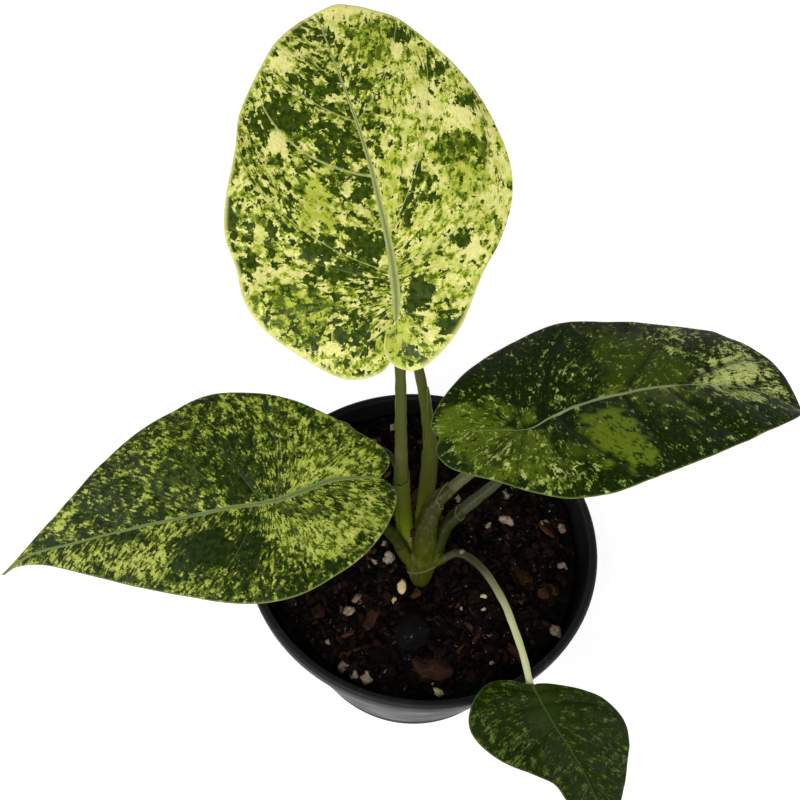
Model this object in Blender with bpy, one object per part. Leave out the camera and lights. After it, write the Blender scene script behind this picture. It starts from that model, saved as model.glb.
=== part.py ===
"""A potted variegated alocasia: a nursery pot of soil, a crown, seven leaf stalks and seven leaves.

The lists below are in millimetres and the meshes in metres, +Z up. The origin is the centre of the
pot's underside and the plant's front faces -Y. A blade is described in its own plane: x to its right,
t from the stalk's joint towards the tip.
"""

import math
from dataclasses import dataclass, field

import bmesh
import bpy
import numpy as np

MM = 0.001
GAP = 0.3

POT_HEIGHT = 80.0
RIM_RADIUS = 55.0
BASE_RADIUS = 39.0
RIM_OVAL = 0.025
RIM_OVAL_AXIS = math.radians(169)
LIP_WIDTH = 2.8
LIP_HEIGHT = 6.0
LIP_REACH = 1.7
WALL = 1.2
FLOOR = 1.6
POT_SIDES = 48
DRAIN_HOLES = 6
DRAIN_RADIUS = 3.5
DRAIN_CIRCLE = 30.0

SOIL_LEVEL = 71.5
SOIL_RINGS = 8
SOIL_SIDES = 36
SOIL_SWELL = 0.8
LUMP_SEED = 11
LUMP_COUNT = 30
LUMP_SIZES = (1.5, 3.2)
LUMP_SINK = 0.6
LUMP_SPACING = 7.0
CROWN_CLEARANCE = 10.0
RIM_CLEARANCE = 8.0

BLADE_THICKNESS = 0.8
CREASE_WIDTH = 2.0
FLAP_FROM = 0.78
FLAP_RISE = 0.14
FLAP_WIDTH = 6.0
STALK_SIDES = 8
STALK_STEP = 7.0
KNEE = 3.5


@dataclass(frozen=True)
class Blade:
    """One leaf blade: where it joins its stalk, how it is turned, its outline and how it bends."""

    name: str
    colour: tuple
    joint: tuple
    heading: float
    pitch: float
    roll: float
    length: float
    lobe: float
    half_width: float
    sinus: tuple
    right: tuple
    left: tuple
    bend: float = 22.0
    lobe_bend: float = 25.0
    fold: float = 0.14
    arch: float = 4.0
    sway: float = 0.0
    drift: float = 0.0
    wave: float = 0.7
    waves: float = 3.0
    curl: float = 0.0
    curl_share: float = 0.14
    flap: float = 0.0
    rows: int = 20
    columns: int = 5
    fan: float = 0.62
    slide: float = 0.88


@dataclass(frozen=True)
class Stalk:
    """One leaf stalk: its centre line from inside the crown, and its radius at shares of its length."""

    name: str
    blade: str
    line: tuple
    radii: tuple
    collar: float
    under: float = 0.0
    colour: tuple = field(default=(0.30, 0.38, 0.20))


CREAM = (0.62, 0.66, 0.26)
MID_GREEN = (0.16, 0.27, 0.07)
DARK_GREEN = (0.03, 0.09, 0.02)

YOUNG_EDGE = (
    (0.0, 1.0),
    (0.06, 0.84),
    (0.17, 0.66),
    (0.28, 0.46),
    (0.35, 0.24),
    (0.35, 0.02),
    (0.29, -0.16),
    (0.18, -0.25),
    (0.08, -0.24),
    (0.0, -0.12),
)


def young_edge(length, side):
    """One side of a young heart-shaped blade, scaled to its length."""
    return tuple((side * x * length, t * length) for x, t in YOUNG_EDGE)


BLADES = (
    Blade(
        name="leaf_top",
        colour=CREAM,
        joint=(-11.3, 16.7, 179.0),
        heading=10,
        pitch=24,
        roll=0,
        length=97,
        lobe=15,
        half_width=36,
        sinus=(-0.5, -0.6),
        right=(
            (-12.9, 87.6), (-9.6, 89.2), (-4.2, 89.4), (8.3, 84.5), (17.6, 72.9), (26.9, 59.3),
            (31.9, 44.6), (32.5, 30.9), (29.0, 20.1), (22.3, 9.2), (16.0, -2.5), (9.7, -9.4),
            (3.6, -13.3), (-1.0, -12.6), (-4.0, -8.8), (-3.9, -5.0), (-2.4, -1.9), (-0.5, -0.6),
        ),
        left=(
            (-12.9, 87.6), (-14.9, 86.0), (-17.4, 83.8), (-23.9, 76.8), (-30.4, 67.0),
            (-34.9, 57.0), (-36.6, 46.2), (-40.1, 33.3), (-40.8, 24.0), (-38.7, 15.7), (-37.4, 7.1),
            (-33.0, -0.5), (-24.8, -7.6), (-14.9, -13.7), (-6.8, -14.2), (-3.0, -11.4),
            (-2.9, -7.5), (-3.3, -4.6), (-2.9, -2.1), (-0.5, -0.6),
        ),
        bend=20,
        drift=-14.5,
        wave=0.8,
        waves=4.0,
        curl=80,
        curl_share=0.1,
        flap=2.4,
        rows=24,
    ),
    Blade(
        name="leaf_left",
        colour=MID_GREEN,
        joint=(-41.9, -14.7, 134.0),
        heading=102,
        pitch=-6,
        roll=0,
        length=82,
        lobe=34,
        half_width=33,
        sinus=(4.2, -30.1),
        right=(
            (-0.6, 81.9), (4.2, 73.4), (14.2, 60.1), (21.5, 49.5), (28.8, 37.3), (34.2, 26.1),
            (37.0, 14.6), (34.2, 1.9), (29.3, -8.9), (20.4, -23.0), (14.4, -31.0), (10.3, -33.4),
            (7.4, -32.8), (4.2, -30.1),
        ),
        left=(
            (-0.6, 81.9), (0.1, 77.0), (-2.2, 67.6), (-9.4, 52.8), (-16.1, 39.4), (-22.6, 24.9),
            (-27.3, 11.0), (-28.0, -1.4), (-24.9, -11.4), (-19.6, -21.2), (-11.4, -29.0),
            (-2.3, -33.9), (2.2, -32.9), (4.2, -30.1),
        ),
        wave=0.6,
        waves=3.0,
    ),
    Blade(
        name="leaf_right",
        colour=DARK_GREEN,
        joint=(26.5, 11.5, 135.0),
        heading=-66,
        pitch=0,
        roll=-12,
        length=90,
        lobe=26,
        half_width=33,
        sinus=(-10.1, -23.0),
        right=(
            (14.4, 86.6), (18.0, 79.6), (21.3, 64.4), (24.9, 46.9), (26.8, 34.9), (28.1, 23.0),
            (28.4, 12.3), (25.6, 0.8), (19.4, -8.4), (12.1, -15.7), (3.1, -23.2), (-4.3, -25.8),
            (-8.0, -24.9), (-10.1, -23.0),
        ),
        left=(
            (14.4, 86.6), (6.3, 88.6), (-5.6, 89.0), (-16.3, 83.4), (-24.6, 72.6), (-29.5, 57.1),
            (-32.8, 41.3), (-35.5, 27.8), (-34.1, 14.1), (-30.7, 1.0), (-24.5, -11.3),
            (-19.4, -18.8), (-14.7, -23.3), (-10.1, -23.0),
        ),
        arch=5.0,
        sway=-5,
        drift=5,
        wave=0.8,
        waves=2.5,
    ),
    Blade(
        name="leaf_small",
        colour=DARK_GREEN,
        joint=(34.2, -47.1, 87.0),
        heading=-143,
        pitch=-24,
        roll=0,
        length=53,
        lobe=8,
        half_width=23,
        sinus=(0.0, -0.4),
        right=(
            (2.4, 53.0), (5.2, 44.3), (7.1, 34.8), (8.6, 27.6), (12.8, 21.3), (19.0, 13.1),
            (22.7, 3.7), (22.0, -2.5), (16.9, -6.7), (10.9, -7.8), (5.4, -5.4), (0.0, -0.4),
        ),
        left=(
            (2.4, 53.0), (-2.7, 51.4), (-8.3, 45.9), (-13.7, 39.7), (-18.1, 31.1), (-19.8, 23.7),
            (-17.4, 15.3), (-12.0, 8.3), (-6.1, 3.1), (-2.4, 0.5), (0.0, -0.4),
        ),
        bend=24,
        lobe_bend=8,
        fold=0.16,
        arch=3.0,
        drift=-2,
        wave=0.7,
        rows=16,
        columns=4,
        fan=0.6,
    ),
    Blade(
        name="leaf_back",
        colour=CREAM,
        joint=(-10.6, 39.5, 151.5),
        heading=20,
        pitch=0,
        roll=0,
        length=46,
        lobe=11.5,
        half_width=16,
        sinus=(0.0, -5.52),
        right=young_edge(46, 1),
        left=young_edge(46, -1),
        arch=3.0,
        rows=12,
        columns=3,
    ),
    Blade(
        name="leaf_lower_right",
        colour=DARK_GREEN,
        joint=(34.9, 23.8, 113.0),
        heading=-64,
        pitch=-4,
        roll=-4,
        length=46,
        lobe=11.5,
        half_width=16,
        sinus=(0.0, -5.52),
        right=young_edge(46, 1),
        left=young_edge(46, -1),
        arch=3.0,
        rows=12,
        columns=3,
    ),
    Blade(
        name="leaf_inner",
        colour=MID_GREEN,
        joint=(-28.2, 14.7, 107.0),
        heading=106,
        pitch=-4,
        roll=0,
        length=36,
        lobe=9,
        half_width=13,
        sinus=(0.0, -4.32),
        right=young_edge(36, 1),
        left=young_edge(36, -1),
        arch=2.0,
        wave=0.4,
        rows=10,
        columns=3,
    ),
)

CROWN_AXIS = (
    (0.5, -10.8, 60.0), (0.5, -10.2, 71.0), (0.2, -8.2, 78.0), (0.1, -7.2, 84.0), (0.1, -6.8, 88.5),
)
CROWN_PLACE = (0.5, -9.5)
CROWN_RADII = ((0.0, 1.5), (0.35, 2.7), (0.6, 4.6), (0.78, 5.3), (0.9, 4.9), (1.0, 3.0))

STALKS = (
    Stalk(
        name="stalk_top",
        blade="leaf_top",
        line=(
            (-1.6, -6.0, 82.0), (-4.8, -3.7, 91.0), (-7.2, 0.6, 109.0), (-8.5, 6.5, 133.5),
            (-9.9, 12.5, 161.0),
        ),
        radii=((0.0, 2.7), (0.3, 2.3), (0.52, 1.75), (0.8, 1.45), (1.0, 1.35)),
        collar=11.0,
    ),
    Stalk(
        name="stalk_back",
        blade="leaf_back",
        line=(
            (0.2, -4.5, 83.0), (0.1, 1.5, 91.0), (0.4, 8.0, 100.5), (0.1, 16.0, 115.0),
            (-4.4, 27.8, 135.5),
        ),
        radii=((0.0, 2.6), (0.35, 2.3), (0.6, 1.6), (1.0, 1.35)),
        collar=11.0,
    ),
    Stalk(
        name="stalk_right",
        blade="leaf_right",
        line=(
            (0.8, -8.0, 82.0), (0.7, -6.2, 92.5), (1.1, -2.8, 100.5), (3.0, 0.8, 106.2),
            (7.3, 4.0, 109.8), (12.0, 7.2, 113.2), (19.8, 9.6, 122.5),
        ),
        radii=((0.0, 3.3), (0.16, 3.3), (0.38, 2.6), (0.5, 1.8), (0.7, 1.45), (1.0, 1.3)),
        collar=11.0,
    ),
    Stalk(
        name="stalk_lower_right",
        blade="leaf_lower_right",
        line=(
            (2.6, -7.5, 82.0), (4.6, -5.6, 86.0), (6.6, -1.0, 91.5), (11.5, 3.2, 96.3),
            (20.7, 9.4, 103.0), (28.0, 15.6, 107.6),
        ),
        radii=((0.0, 2.2), (0.4, 1.85), (0.6, 1.6), (1.0, 1.3)),
        collar=11.0,
    ),
    Stalk(
        name="stalk_left",
        blade="leaf_left",
        line=(
            (-2.2, -9.0, 81.5), (-4.9, -9.0, 87.5), (-8.0, -7.2, 95.0), (-13.0, -6.8, 104.0),
            (-25.0, -9.3, 117.0),
        ),
        radii=((0.0, 1.9), (0.3, 1.8), (1.0, 1.3)),
        collar=12.5,
    ),
    Stalk(
        name="stalk_small",
        blade="leaf_small",
        line=(
            (3.0, -10.0, 82.0), (6.0, -9.0, 85.3), (11.7, -8.0, 89.3), (18.5, -14.0, 92.6),
            (24.3, -23.2, 93.4), (27.4, -30.0, 92.6), (31.0, -38.8, 90.2),
        ),
        radii=((0.0, 1.3), (0.5, 1.15), (1.0, 1.0)),
        collar=6.0,
        under=2.5,
    ),
    Stalk(
        name="stalk_inner",
        blade="leaf_inner",
        line=(
            (-1.8, -4.5, 82.0), (-4.4, 1.6, 88.0), (-9.3, 15.5, 97.8), (-13.5, 19.3, 102.0),
            (-21.0, 19.0, 104.0),
        ),
        radii=((0.0, 1.0), (1.0, 0.8)),
        collar=7.5,
    ),
)

# Lumps that stand out in the mix: place, half sizes and turn
PLACED_LUMPS = (
    ((-1.9, -28.1), (5.6, 4.8, 2.4), 10),
    ((5.7, -39.6), (6.6, 3.0, 1.6), -12),
    ((-5.3, -13.5), (1.5, 2.4, 1.5), 5),
    ((-7.6, -17.8), (1.4, 1.4, 1.3), 0),
    ((6.8, -46.0), (2.7, 1.4, 1.1), -8),
    ((-18.9, -18.4), (2.2, 2.0, 1.8), 20),
    ((-21.5, -22.8), (2.0, 1.7, 1.5), 40),
    ((-9.8, -4.6), (2.8, 2.4, 2.2), 70),
    ((28.2, 21.4), (2.4, 2.0, 1.8), 15),
    ((27.9, 11.6), (2.2, 2.6, 1.8), 60),
    ((41.0, 11.4), (2.3, 2.0, 1.6), 0),
    ((43.6, -24.8), (2.5, 1.9, 1.6), -50),
    ((-14.4, -43.0), (2.6, 2.2, 1.8), 30),
    ((-21.9, -40.4), (2.2, 2.0, 1.6), 80),
)


def clear_scene():
    """Removes what the file opened with."""
    for thing in list(bpy.data.objects):
        bpy.data.objects.remove(thing, do_unlink=True)


def material(name, colour, roughness):
    """A plain Principled material."""
    made = bpy.data.materials.new(name)
    made.use_nodes = True
    shader = made.node_tree.nodes["Principled BSDF"]
    shader.inputs["Base Color"].default_value = (*colour, 1.0)
    shader.inputs["Roughness"].default_value = roughness
    shader.inputs["Metallic"].default_value = 0.0
    made.diffuse_color = (*colour, 1.0)
    return made


def object_of(name, points, faces, finish=None, smooth=True):
    """A closed mesh object from points in millimetres."""
    mesh = bpy.data.meshes.new(name)
    mesh.from_pydata([tuple(float(v) * MM for v in point) for point in points], [], faces)
    shape = bmesh.new()
    shape.from_mesh(mesh)
    bmesh.ops.recalc_face_normals(shape, faces=shape.faces[:])
    shape.to_mesh(mesh)
    shape.free()
    if smooth:
        mesh.shade_smooth()
    thing = bpy.data.objects.new(name, mesh)
    bpy.context.scene.collection.objects.link(thing)
    if finish:
        mesh.materials.append(finish)
    return thing


def combine(base, others, operation):
    """Applies one Boolean of all the others to the base, then removes them."""
    group = bpy.data.collections.new(base.name + " tools")
    bpy.context.scene.collection.children.link(group)
    for other in others:
        bpy.context.scene.collection.objects.unlink(other)
        group.objects.link(other)
    step = base.modifiers.new(operation.title(), "BOOLEAN")
    step.operation = operation
    step.operand_type = "COLLECTION"
    step.collection = group
    step.solver = "EXACT"
    bpy.context.view_layer.update()
    graph = bpy.context.evaluated_depsgraph_get()
    mesh = bpy.data.meshes.new_from_object(base.evaluated_get(graph))
    base.modifiers.clear()
    base.data = mesh
    for other in others:
        bpy.data.objects.remove(other, do_unlink=True)
    bpy.data.collections.remove(group)
    return base


def smooth_line(points, count):
    """A rounded line through the points, as count + 1 places at equal steps along it."""
    points = np.array(points, float)
    ends = np.vstack([2 * points[0] - points[1], points, 2 * points[-1] - points[-2]])
    share = np.linspace(0, 1, 24, endpoint=False)[:, None]
    parts = []
    for before, start, end, after in zip(ends, ends[1:], ends[2:], ends[3:], strict=False):
        parts.append(
            0.5
            * (
                2 * start
                + (end - before) * share
                + (2 * before - 5 * start + 4 * end - after) * share**2
                + (3 * start - before - 3 * end + after) * share**3
            )
        )
    dense = np.vstack([*parts, points[-1:]])
    walked = np.concatenate([[0], np.cumsum(np.linalg.norm(np.diff(dense, axis=0), axis=1))])
    wanted = np.linspace(0, walked[-1], count + 1)
    return np.stack([np.interp(wanted, walked, dense[:, k]) for k in range(dense.shape[1])], axis=1)


def line_length(points):
    """Length of a line of places."""
    return float(np.linalg.norm(np.diff(np.array(points), axis=0), axis=1).sum())


def turn_of(blade):
    """The blade's rotation from its own plane to the world."""
    heading, pitch, roll = np.radians([blade.heading, blade.pitch, blade.roll])
    about_z = np.array(
        [[np.cos(heading), -np.sin(heading), 0], [np.sin(heading), np.cos(heading), 0], [0, 0, 1]]
    )
    about_x = np.array(
        [[1, 0, 0], [0, np.cos(pitch), -np.sin(pitch)], [0, np.sin(pitch), np.cos(pitch)]]
    )
    about_y = np.array(
        [[np.cos(roll), 0, np.sin(roll)], [0, 1, 0], [-np.sin(roll), 0, np.cos(roll)]]
    )
    return about_z @ about_x @ about_y


def rib_slope(blade, t):
    """The rib's slope in radians: it droops evenly to both ends, and the tip may curl more."""
    ahead = np.clip(t, 0, None)
    curl_from = blade.length * (1 - blade.curl_share)
    curl = blade.curl * np.clip((t - curl_from) / (blade.length - curl_from), 0, None)
    droop = -blade.bend * ahead / blade.length - curl
    return np.radians(droop + blade.lobe_bend * np.clip(-t, 0, None) / blade.lobe)


def rib_side(blade, t):
    """How far the rib swings sideways at t; behind the joint it runs to the notch."""
    share = np.clip(t, 0, None) / blade.length
    ahead = blade.sway * np.sin(np.pi * np.clip(share, 0, 1)) + blade.drift * share**2
    return ahead + blade.sinus[0] * np.clip(-t, 0, None) / abs(blade.sinus[1])


def blade_place(blade, x, t, lift):
    """World places of blade points, raised by lift from the folded, arched and bent sheet."""
    grid = np.linspace(-1.6 * blade.lobe, 1.2 * blade.length, 600)
    slope = rib_slope(blade, grid)
    step = grid[1] - grid[0]
    reach = np.concatenate([[0], np.cumsum((np.cos(slope[1:]) + np.cos(slope[:-1])) / 2 * step)])
    rise = np.concatenate([[0], np.cumsum((np.sin(slope[1:]) + np.sin(slope[:-1])) / 2 * step)])
    reach -= np.interp(0, grid, reach)
    rise -= np.interp(0, grid, rise)
    across = x - rib_side(blade, t)
    height = blade.fold * (np.sqrt(across**2 + CREASE_WIDTH**2) - CREASE_WIDTH)
    height = height - blade.arch * (across / blade.half_width) ** 2 + lift
    here = rib_slope(blade, t)
    flat = np.stack(
        [
            x,
            np.interp(t, grid, reach) - np.sin(here) * height,
            np.interp(t, grid, rise) + np.cos(here) * height,
        ],
        axis=-1,
    )
    return np.array(blade.joint) + flat @ turn_of(blade).T


def rib_station(blade, share):
    """Where on the rib the side vein starts that ends at this share of the margin, tip to notch."""
    ahead = blade.length * np.clip(1 - share / blade.fan, 0, 1)
    behind = blade.sinus[1] * np.clip((share - blade.slide) / (1 - blade.slide), 0, 1)
    return ahead + behind


def blade_object(blade, finish):
    """The blade as one closed sheet, both faces split into triangles alike."""
    shares = np.linspace(0, 1, blade.rows + 1)
    stations = rib_station(blade, shares)
    rib = np.stack([rib_side(blade, stations), stations], axis=1)
    rib[0] = blade.right[0]
    places, lifts, index, known = [], [], {}, {}
    for side, edge in ((1, blade.right), (-1, blade.left)):
        margin = smooth_line(edge, blade.rows)
        for row in range(blade.rows + 1):
            for column in range(blade.columns + 1):
                reach = column / blade.columns
                x, t = rib[row] + (margin[row] - rib[row]) * reach
                inside = 0 < column and 0 < row < blade.rows
                key = (round(float(x), 4), round(float(t), 4), side if inside else 0)
                if key not in known:
                    distance = math.hypot(x - rib[row][0], t - rib[row][1])
                    behind = np.clip((shares[row] - FLAP_FROM) / FLAP_RISE, 0, 1)
                    flap = side * blade.flap * behind * min(1.0, distance / FLAP_WIDTH)
                    ripple = math.sin(2 * math.pi * blade.waves * shares[row] + side)
                    wave = blade.wave * reach**2 * ripple
                    known[key] = len(places)
                    places.append((x, t))
                    lifts.append(flap + wave)
                index[side, row, column] = known[key]
    x, t = np.array(places).T
    lifts = np.array(lifts)
    upper = blade_place(blade, x, t, lifts + BLADE_THICKNESS / 2)
    lower = blade_place(blade, x, t, lifts - BLADE_THICKNESS / 2)
    count = len(places)
    faces = []

    def add(*corners):
        earlier = (corners[-1], *corners[:-1])
        kept = [c for c, before in zip(corners, earlier, strict=True) if c != before]
        if len(set(kept)) == 3:
            faces.append(tuple(kept))

    for side in (1, -1):
        for row in range(blade.rows):
            for column in range(blade.columns):
                a = index[side, row, column]
                b = index[side, row, column + 1]
                c = index[side, row + 1, column + 1]
                d = index[side, row + 1, column]
                for low in (0, count):
                    add(a + low, b + low, c + low)
                    add(a + low, c + low, d + low)
            top = index[side, row, blade.columns]
            next_top = index[side, row + 1, blade.columns]
            add(top, next_top, next_top + count)
            add(top, next_top + count, top + count)
    return object_of(blade.name, np.vstack([upper, lower]), faces, finish)


def tube(name, line, radii, sides, finish=None, tangents=None):
    """A round rod along a line of places, closed at both ends."""
    line = np.array(line, float)
    if tangents is None:
        tangents = np.gradient(line, axis=0)
    tangents = tangents / np.linalg.norm(tangents, axis=1)[:, None]
    across = np.cross(tangents[0], (0.3, 1.0, 0.1))
    rings = []
    for place, tangent, radius in zip(line, tangents, radii, strict=True):
        across = across - tangent * np.dot(across, tangent)
        across /= np.linalg.norm(across)
        other = np.cross(tangent, across)
        for turn in np.arange(sides) * 2 * math.pi / sides:
            rings.append(place + radius * (math.cos(turn) * across + math.sin(turn) * other))
    faces = []
    for ring in range(len(line) - 1):
        for side in range(sides):
            after = (side + 1) % sides
            low, high = ring * sides, (ring + 1) * sides
            faces.append((low + side, low + after, high + after, high + side))
    faces.append(tuple(range(sides)))
    faces.append(tuple(range((len(line) - 1) * sides, len(line) * sides)))
    return object_of(name, rings, faces, finish)


def stalk_line(stalk):
    """The stalk's whole line, its end turned to meet the underside of its blade."""
    blade = next(b for b in BLADES if b.name == stalk.blade)
    below = -(BLADE_THICKNESS / 2 + GAP)
    if stalk.under:
        below -= stalk.radii[-1][1]
        end = blade_place(blade, rib_side(blade, stalk.under), stalk.under, below)
        before = blade_place(blade, 0.0, stalk.under - 0.6 * KNEE, below - 0.6)
    else:
        end = blade_place(blade, 0.0, 0.0, below)
        before = blade_place(blade, 0.0, 0.0, below - KNEE)
    return smooth_line((*stalk.line, before, end), 200)


def stalk_part(stalk, start, end):
    """The stretch of a stalk between two lengths from its start: places, radii and directions."""
    whole = stalk_line(stalk)
    direction = np.gradient(whole, axis=0)
    total = line_length(whole)
    end = total if end is None else end
    count = max(2, round((end - start) / STALK_STEP))
    shares = np.linspace(start / total, end / total, count + 1)
    at = np.linspace(0, 1, len(whole))
    line = np.stack([np.interp(shares, at, whole[:, k]) for k in range(3)], axis=1)
    tangents = np.stack([np.interp(shares, at, direction[:, k]) for k in range(3)], axis=1)
    return line, np.interp(shares, *zip(*stalk.radii, strict=True)), tangents


def crown_stump(name, grow, finish=None):
    """The neck that carries the stalks; grow widens it, to cut its hole."""
    line = smooth_line(CROWN_AXIS, 9)
    if grow:
        line[0] -= (0, 0, grow)
    radii = np.interp(np.linspace(0, 1, 10), *zip(*CROWN_RADII, strict=True)) + grow
    return tube(name, line, radii, 14, finish)


def crown_object(finish):
    """The neck with the clasping base of each stalk grown into it."""
    crown = crown_stump("crown", 0.0, finish)
    bases = []
    for stalk in STALKS:
        line, radii, tangents = stalk_part(stalk, 0.0, stalk.collar)
        bases.append(tube(stalk.name + " base", line, radii, STALK_SIDES, finish, tangents))
    return combine(crown, bases, "UNION")


def pot_radius(height):
    """Outer radius of the pot's wall at a height."""
    top = POT_HEIGHT - LIP_HEIGHT
    return BASE_RADIUS + (RIM_RADIUS - LIP_REACH - BASE_RADIUS) * min(height / top, 1.0)


def oval(radius, height, angle):
    """The radius at an angle: the rim is squeezed a little, the base is round."""
    return radius * (1 + RIM_OVAL * height / POT_HEIGHT * math.cos(2 * (angle - RIM_OVAL_AXIS)))


def turned(name, profile, sides, finish=None):
    """A closed body turned about the pot's axis from (radius, height) points, first and last on it."""
    points = [(0.0, 0.0, profile[0][1])]
    for radius, height in profile[1:-1]:
        for side in range(sides):
            angle = 2 * math.pi * side / sides
            reach = oval(radius, height, angle)
            points.append((reach * math.cos(angle), reach * math.sin(angle), height))
    points.append((0.0, 0.0, profile[-1][1]))
    faces = []
    last_ring = len(profile) - 3
    for side in range(sides):
        after = (side + 1) % sides
        faces.append((0, 1 + after, 1 + side))
        for ring in range(last_ring):
            start = 1 + ring * sides
            faces.append((start + side, start + after, start + sides + after, start + sides + side))
        start = 1 + last_ring * sides
        faces.append((start + side, start + after, len(points) - 1))
    return object_of(name, points, faces, finish)


def pot_object(finish):
    """The nursery pot: a tapered wall, a thick rolled lip and drain holes in its floor."""
    under_lip = POT_HEIGHT - LIP_HEIGHT
    inner = RIM_RADIUS - LIP_WIDTH
    profile = (
        (0.0, 0.0),
        (BASE_RADIUS - 1.2, 0.0),
        (BASE_RADIUS, 1.2),
        (pot_radius(under_lip), under_lip),
        (RIM_RADIUS - 0.3, under_lip + 0.4),
        (RIM_RADIUS, POT_HEIGHT - 0.9),
        (RIM_RADIUS - 0.8, POT_HEIGHT),
        (inner + 0.7, POT_HEIGHT),
        (inner, POT_HEIGHT - 0.7),
        (pot_radius(under_lip) - WALL, under_lip - 1.0),
        (pot_radius(FLOOR) - WALL, FLOOR),
        (0.0, FLOOR),
    )
    pot = turned("pot", profile, POT_SIDES, finish)
    cutters = []
    for hole in range(DRAIN_HOLES):
        angle = 2 * math.pi * (hole + 0.5) / DRAIN_HOLES
        centre = np.array((DRAIN_CIRCLE * math.cos(angle), DRAIN_CIRCLE * math.sin(angle), -1.0))
        line = (centre, centre + (0, 0, 0.5 * FLOOR + 1), centre + (0, 0, FLOOR + 2))
        cutters.append(tube(f"drain {hole}", line, (DRAIN_RADIUS,) * 3, 10))
    return combine(pot, cutters, "DIFFERENCE")


def soil_height(x, y):
    """The soil's uneven surface: a few crossing swells that fade to the wall."""
    swell = math.sin(0.21 * x + 0.6) * math.cos(0.17 * y - 0.9)
    swell += 0.7 * math.sin(0.33 * x - 0.27 * y + 2.0)
    swell += 0.5 * math.cos(0.41 * x + 0.38 * y)
    fade = 1 - 0.6 * min(1.0, math.hypot(x, y) / RIM_RADIUS) ** 4
    return SOIL_LEVEL + SOIL_SWELL * swell * fade


def lump(name, place, half_sizes, turn):
    """A pebble with flat facets, its root sunk in the soil."""
    shape = bmesh.new()
    bmesh.ops.create_icosphere(shape, subdivisions=1, radius=1.0)
    turn = math.radians(turn)
    x, y = place
    height = soil_height(x, y) + half_sizes[2] * (1 - 2 * LUMP_SINK)
    points = []
    for vertex in shape.verts:
        along = vertex.co.x * half_sizes[0]
        aside = vertex.co.y * half_sizes[1]
        points.append(
            (
                x + along * math.cos(turn) - aside * math.sin(turn),
                y + along * math.sin(turn) + aside * math.cos(turn),
                height + vertex.co.z * half_sizes[2],
            )
        )
    faces = [tuple(v.index for v in face.verts) for face in shape.faces]
    shape.free()
    return object_of(name, points, faces, smooth=False)


def scattered_lumps():
    """Smaller crumbs strewn by a seeded rule, clear of the crown, the wall and each other."""
    draw = np.random.RandomState(LUMP_SEED)
    taken = [place for place, _, _ in PLACED_LUMPS]
    lumps = []
    while len(lumps) < LUMP_COUNT:
        angle = draw.uniform(0, 2 * math.pi)
        reach = (RIM_RADIUS - RIM_CLEARANCE) * math.sqrt(draw.uniform(0.02, 1.0))
        place = (reach * math.cos(angle), reach * math.sin(angle))
        size = draw.uniform(*LUMP_SIZES)
        shape = tuple(size * draw.uniform(0.75, 1.1, 3))
        turn = draw.uniform(0, 180)
        if math.dist(place, CROWN_PLACE) < CROWN_CLEARANCE:
            continue
        if min(math.dist(place, other) for other in taken) < LUMP_SPACING:
            continue
        taken.append(place)
        lumps.append((place, shape, turn))
    return lumps


def soil_object(finish):
    """The soil: a plug that fills the pot, with an uneven top, crumbs, and a hole for the crown."""
    bottom = FLOOR + GAP
    side_gap = WALL + GAP
    profile = [(0.0, bottom), (pot_radius(bottom) - side_gap - 0.3, bottom)]
    profile.append((pot_radius(SOIL_LEVEL) - side_gap - 0.3, SOIL_LEVEL - 2.5))
    for ring in range(SOIL_RINGS):
        share = 1 - ring / SOIL_RINGS
        profile.append(((pot_radius(SOIL_LEVEL) - side_gap - 0.8) * share, SOIL_LEVEL))
    profile.append((0.0, SOIL_LEVEL))
    soil = turned("soil", profile, SOIL_SIDES, finish)
    for vertex in soil.data.vertices:
        if vertex.co.z > (SOIL_LEVEL - 0.01) * MM:
            vertex.co.z = soil_height(vertex.co.x / MM, vertex.co.y / MM) * MM
    crumbs = []
    for number, (place, half_sizes, turn) in enumerate((*PLACED_LUMPS, *scattered_lumps())):
        crumbs.append(lump(f"crumb {number}", place, half_sizes, turn))
    combine(soil, crumbs, "UNION")
    return combine(soil, [crown_stump("crown hole", GAP + 0.1)], "DIFFERENCE")


def main():
    clear_scene()
    pot_object(material("black plastic", (0.012, 0.012, 0.013), 0.35))
    soil_object(material("potting mix", (0.03, 0.018, 0.012), 0.9))
    crown_object(material("sheath", (0.17, 0.22, 0.05), 0.4))
    for stalk in STALKS:
        line, radii, tangents = stalk_part(stalk, stalk.collar + GAP, None)
        skin = material(stalk.name + " skin", stalk.colour, 0.4)
        tube(stalk.name, line, radii, STALK_SIDES, skin, tangents)
    for blade in BLADES:
        blade_object(blade, material(blade.name + " skin", blade.colour, 0.35))


main()
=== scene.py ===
"""Looks for the potted alocasia: leaves with their variegation, stalks, crown, potting mix, pot and studio.

Sizes in the classes are in millimetres, meshes in metres, +Z up. A blade is described in its own plane:
x to its right, t from the stalk's joint towards the tip.
"""

import logging
import math
from collections.abc import Iterable, Sequence
from dataclasses import dataclass
from enum import Enum
from typing import Any

import bmesh
import bpy
import numpy as np
from mathutils import Matrix, Vector


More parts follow.
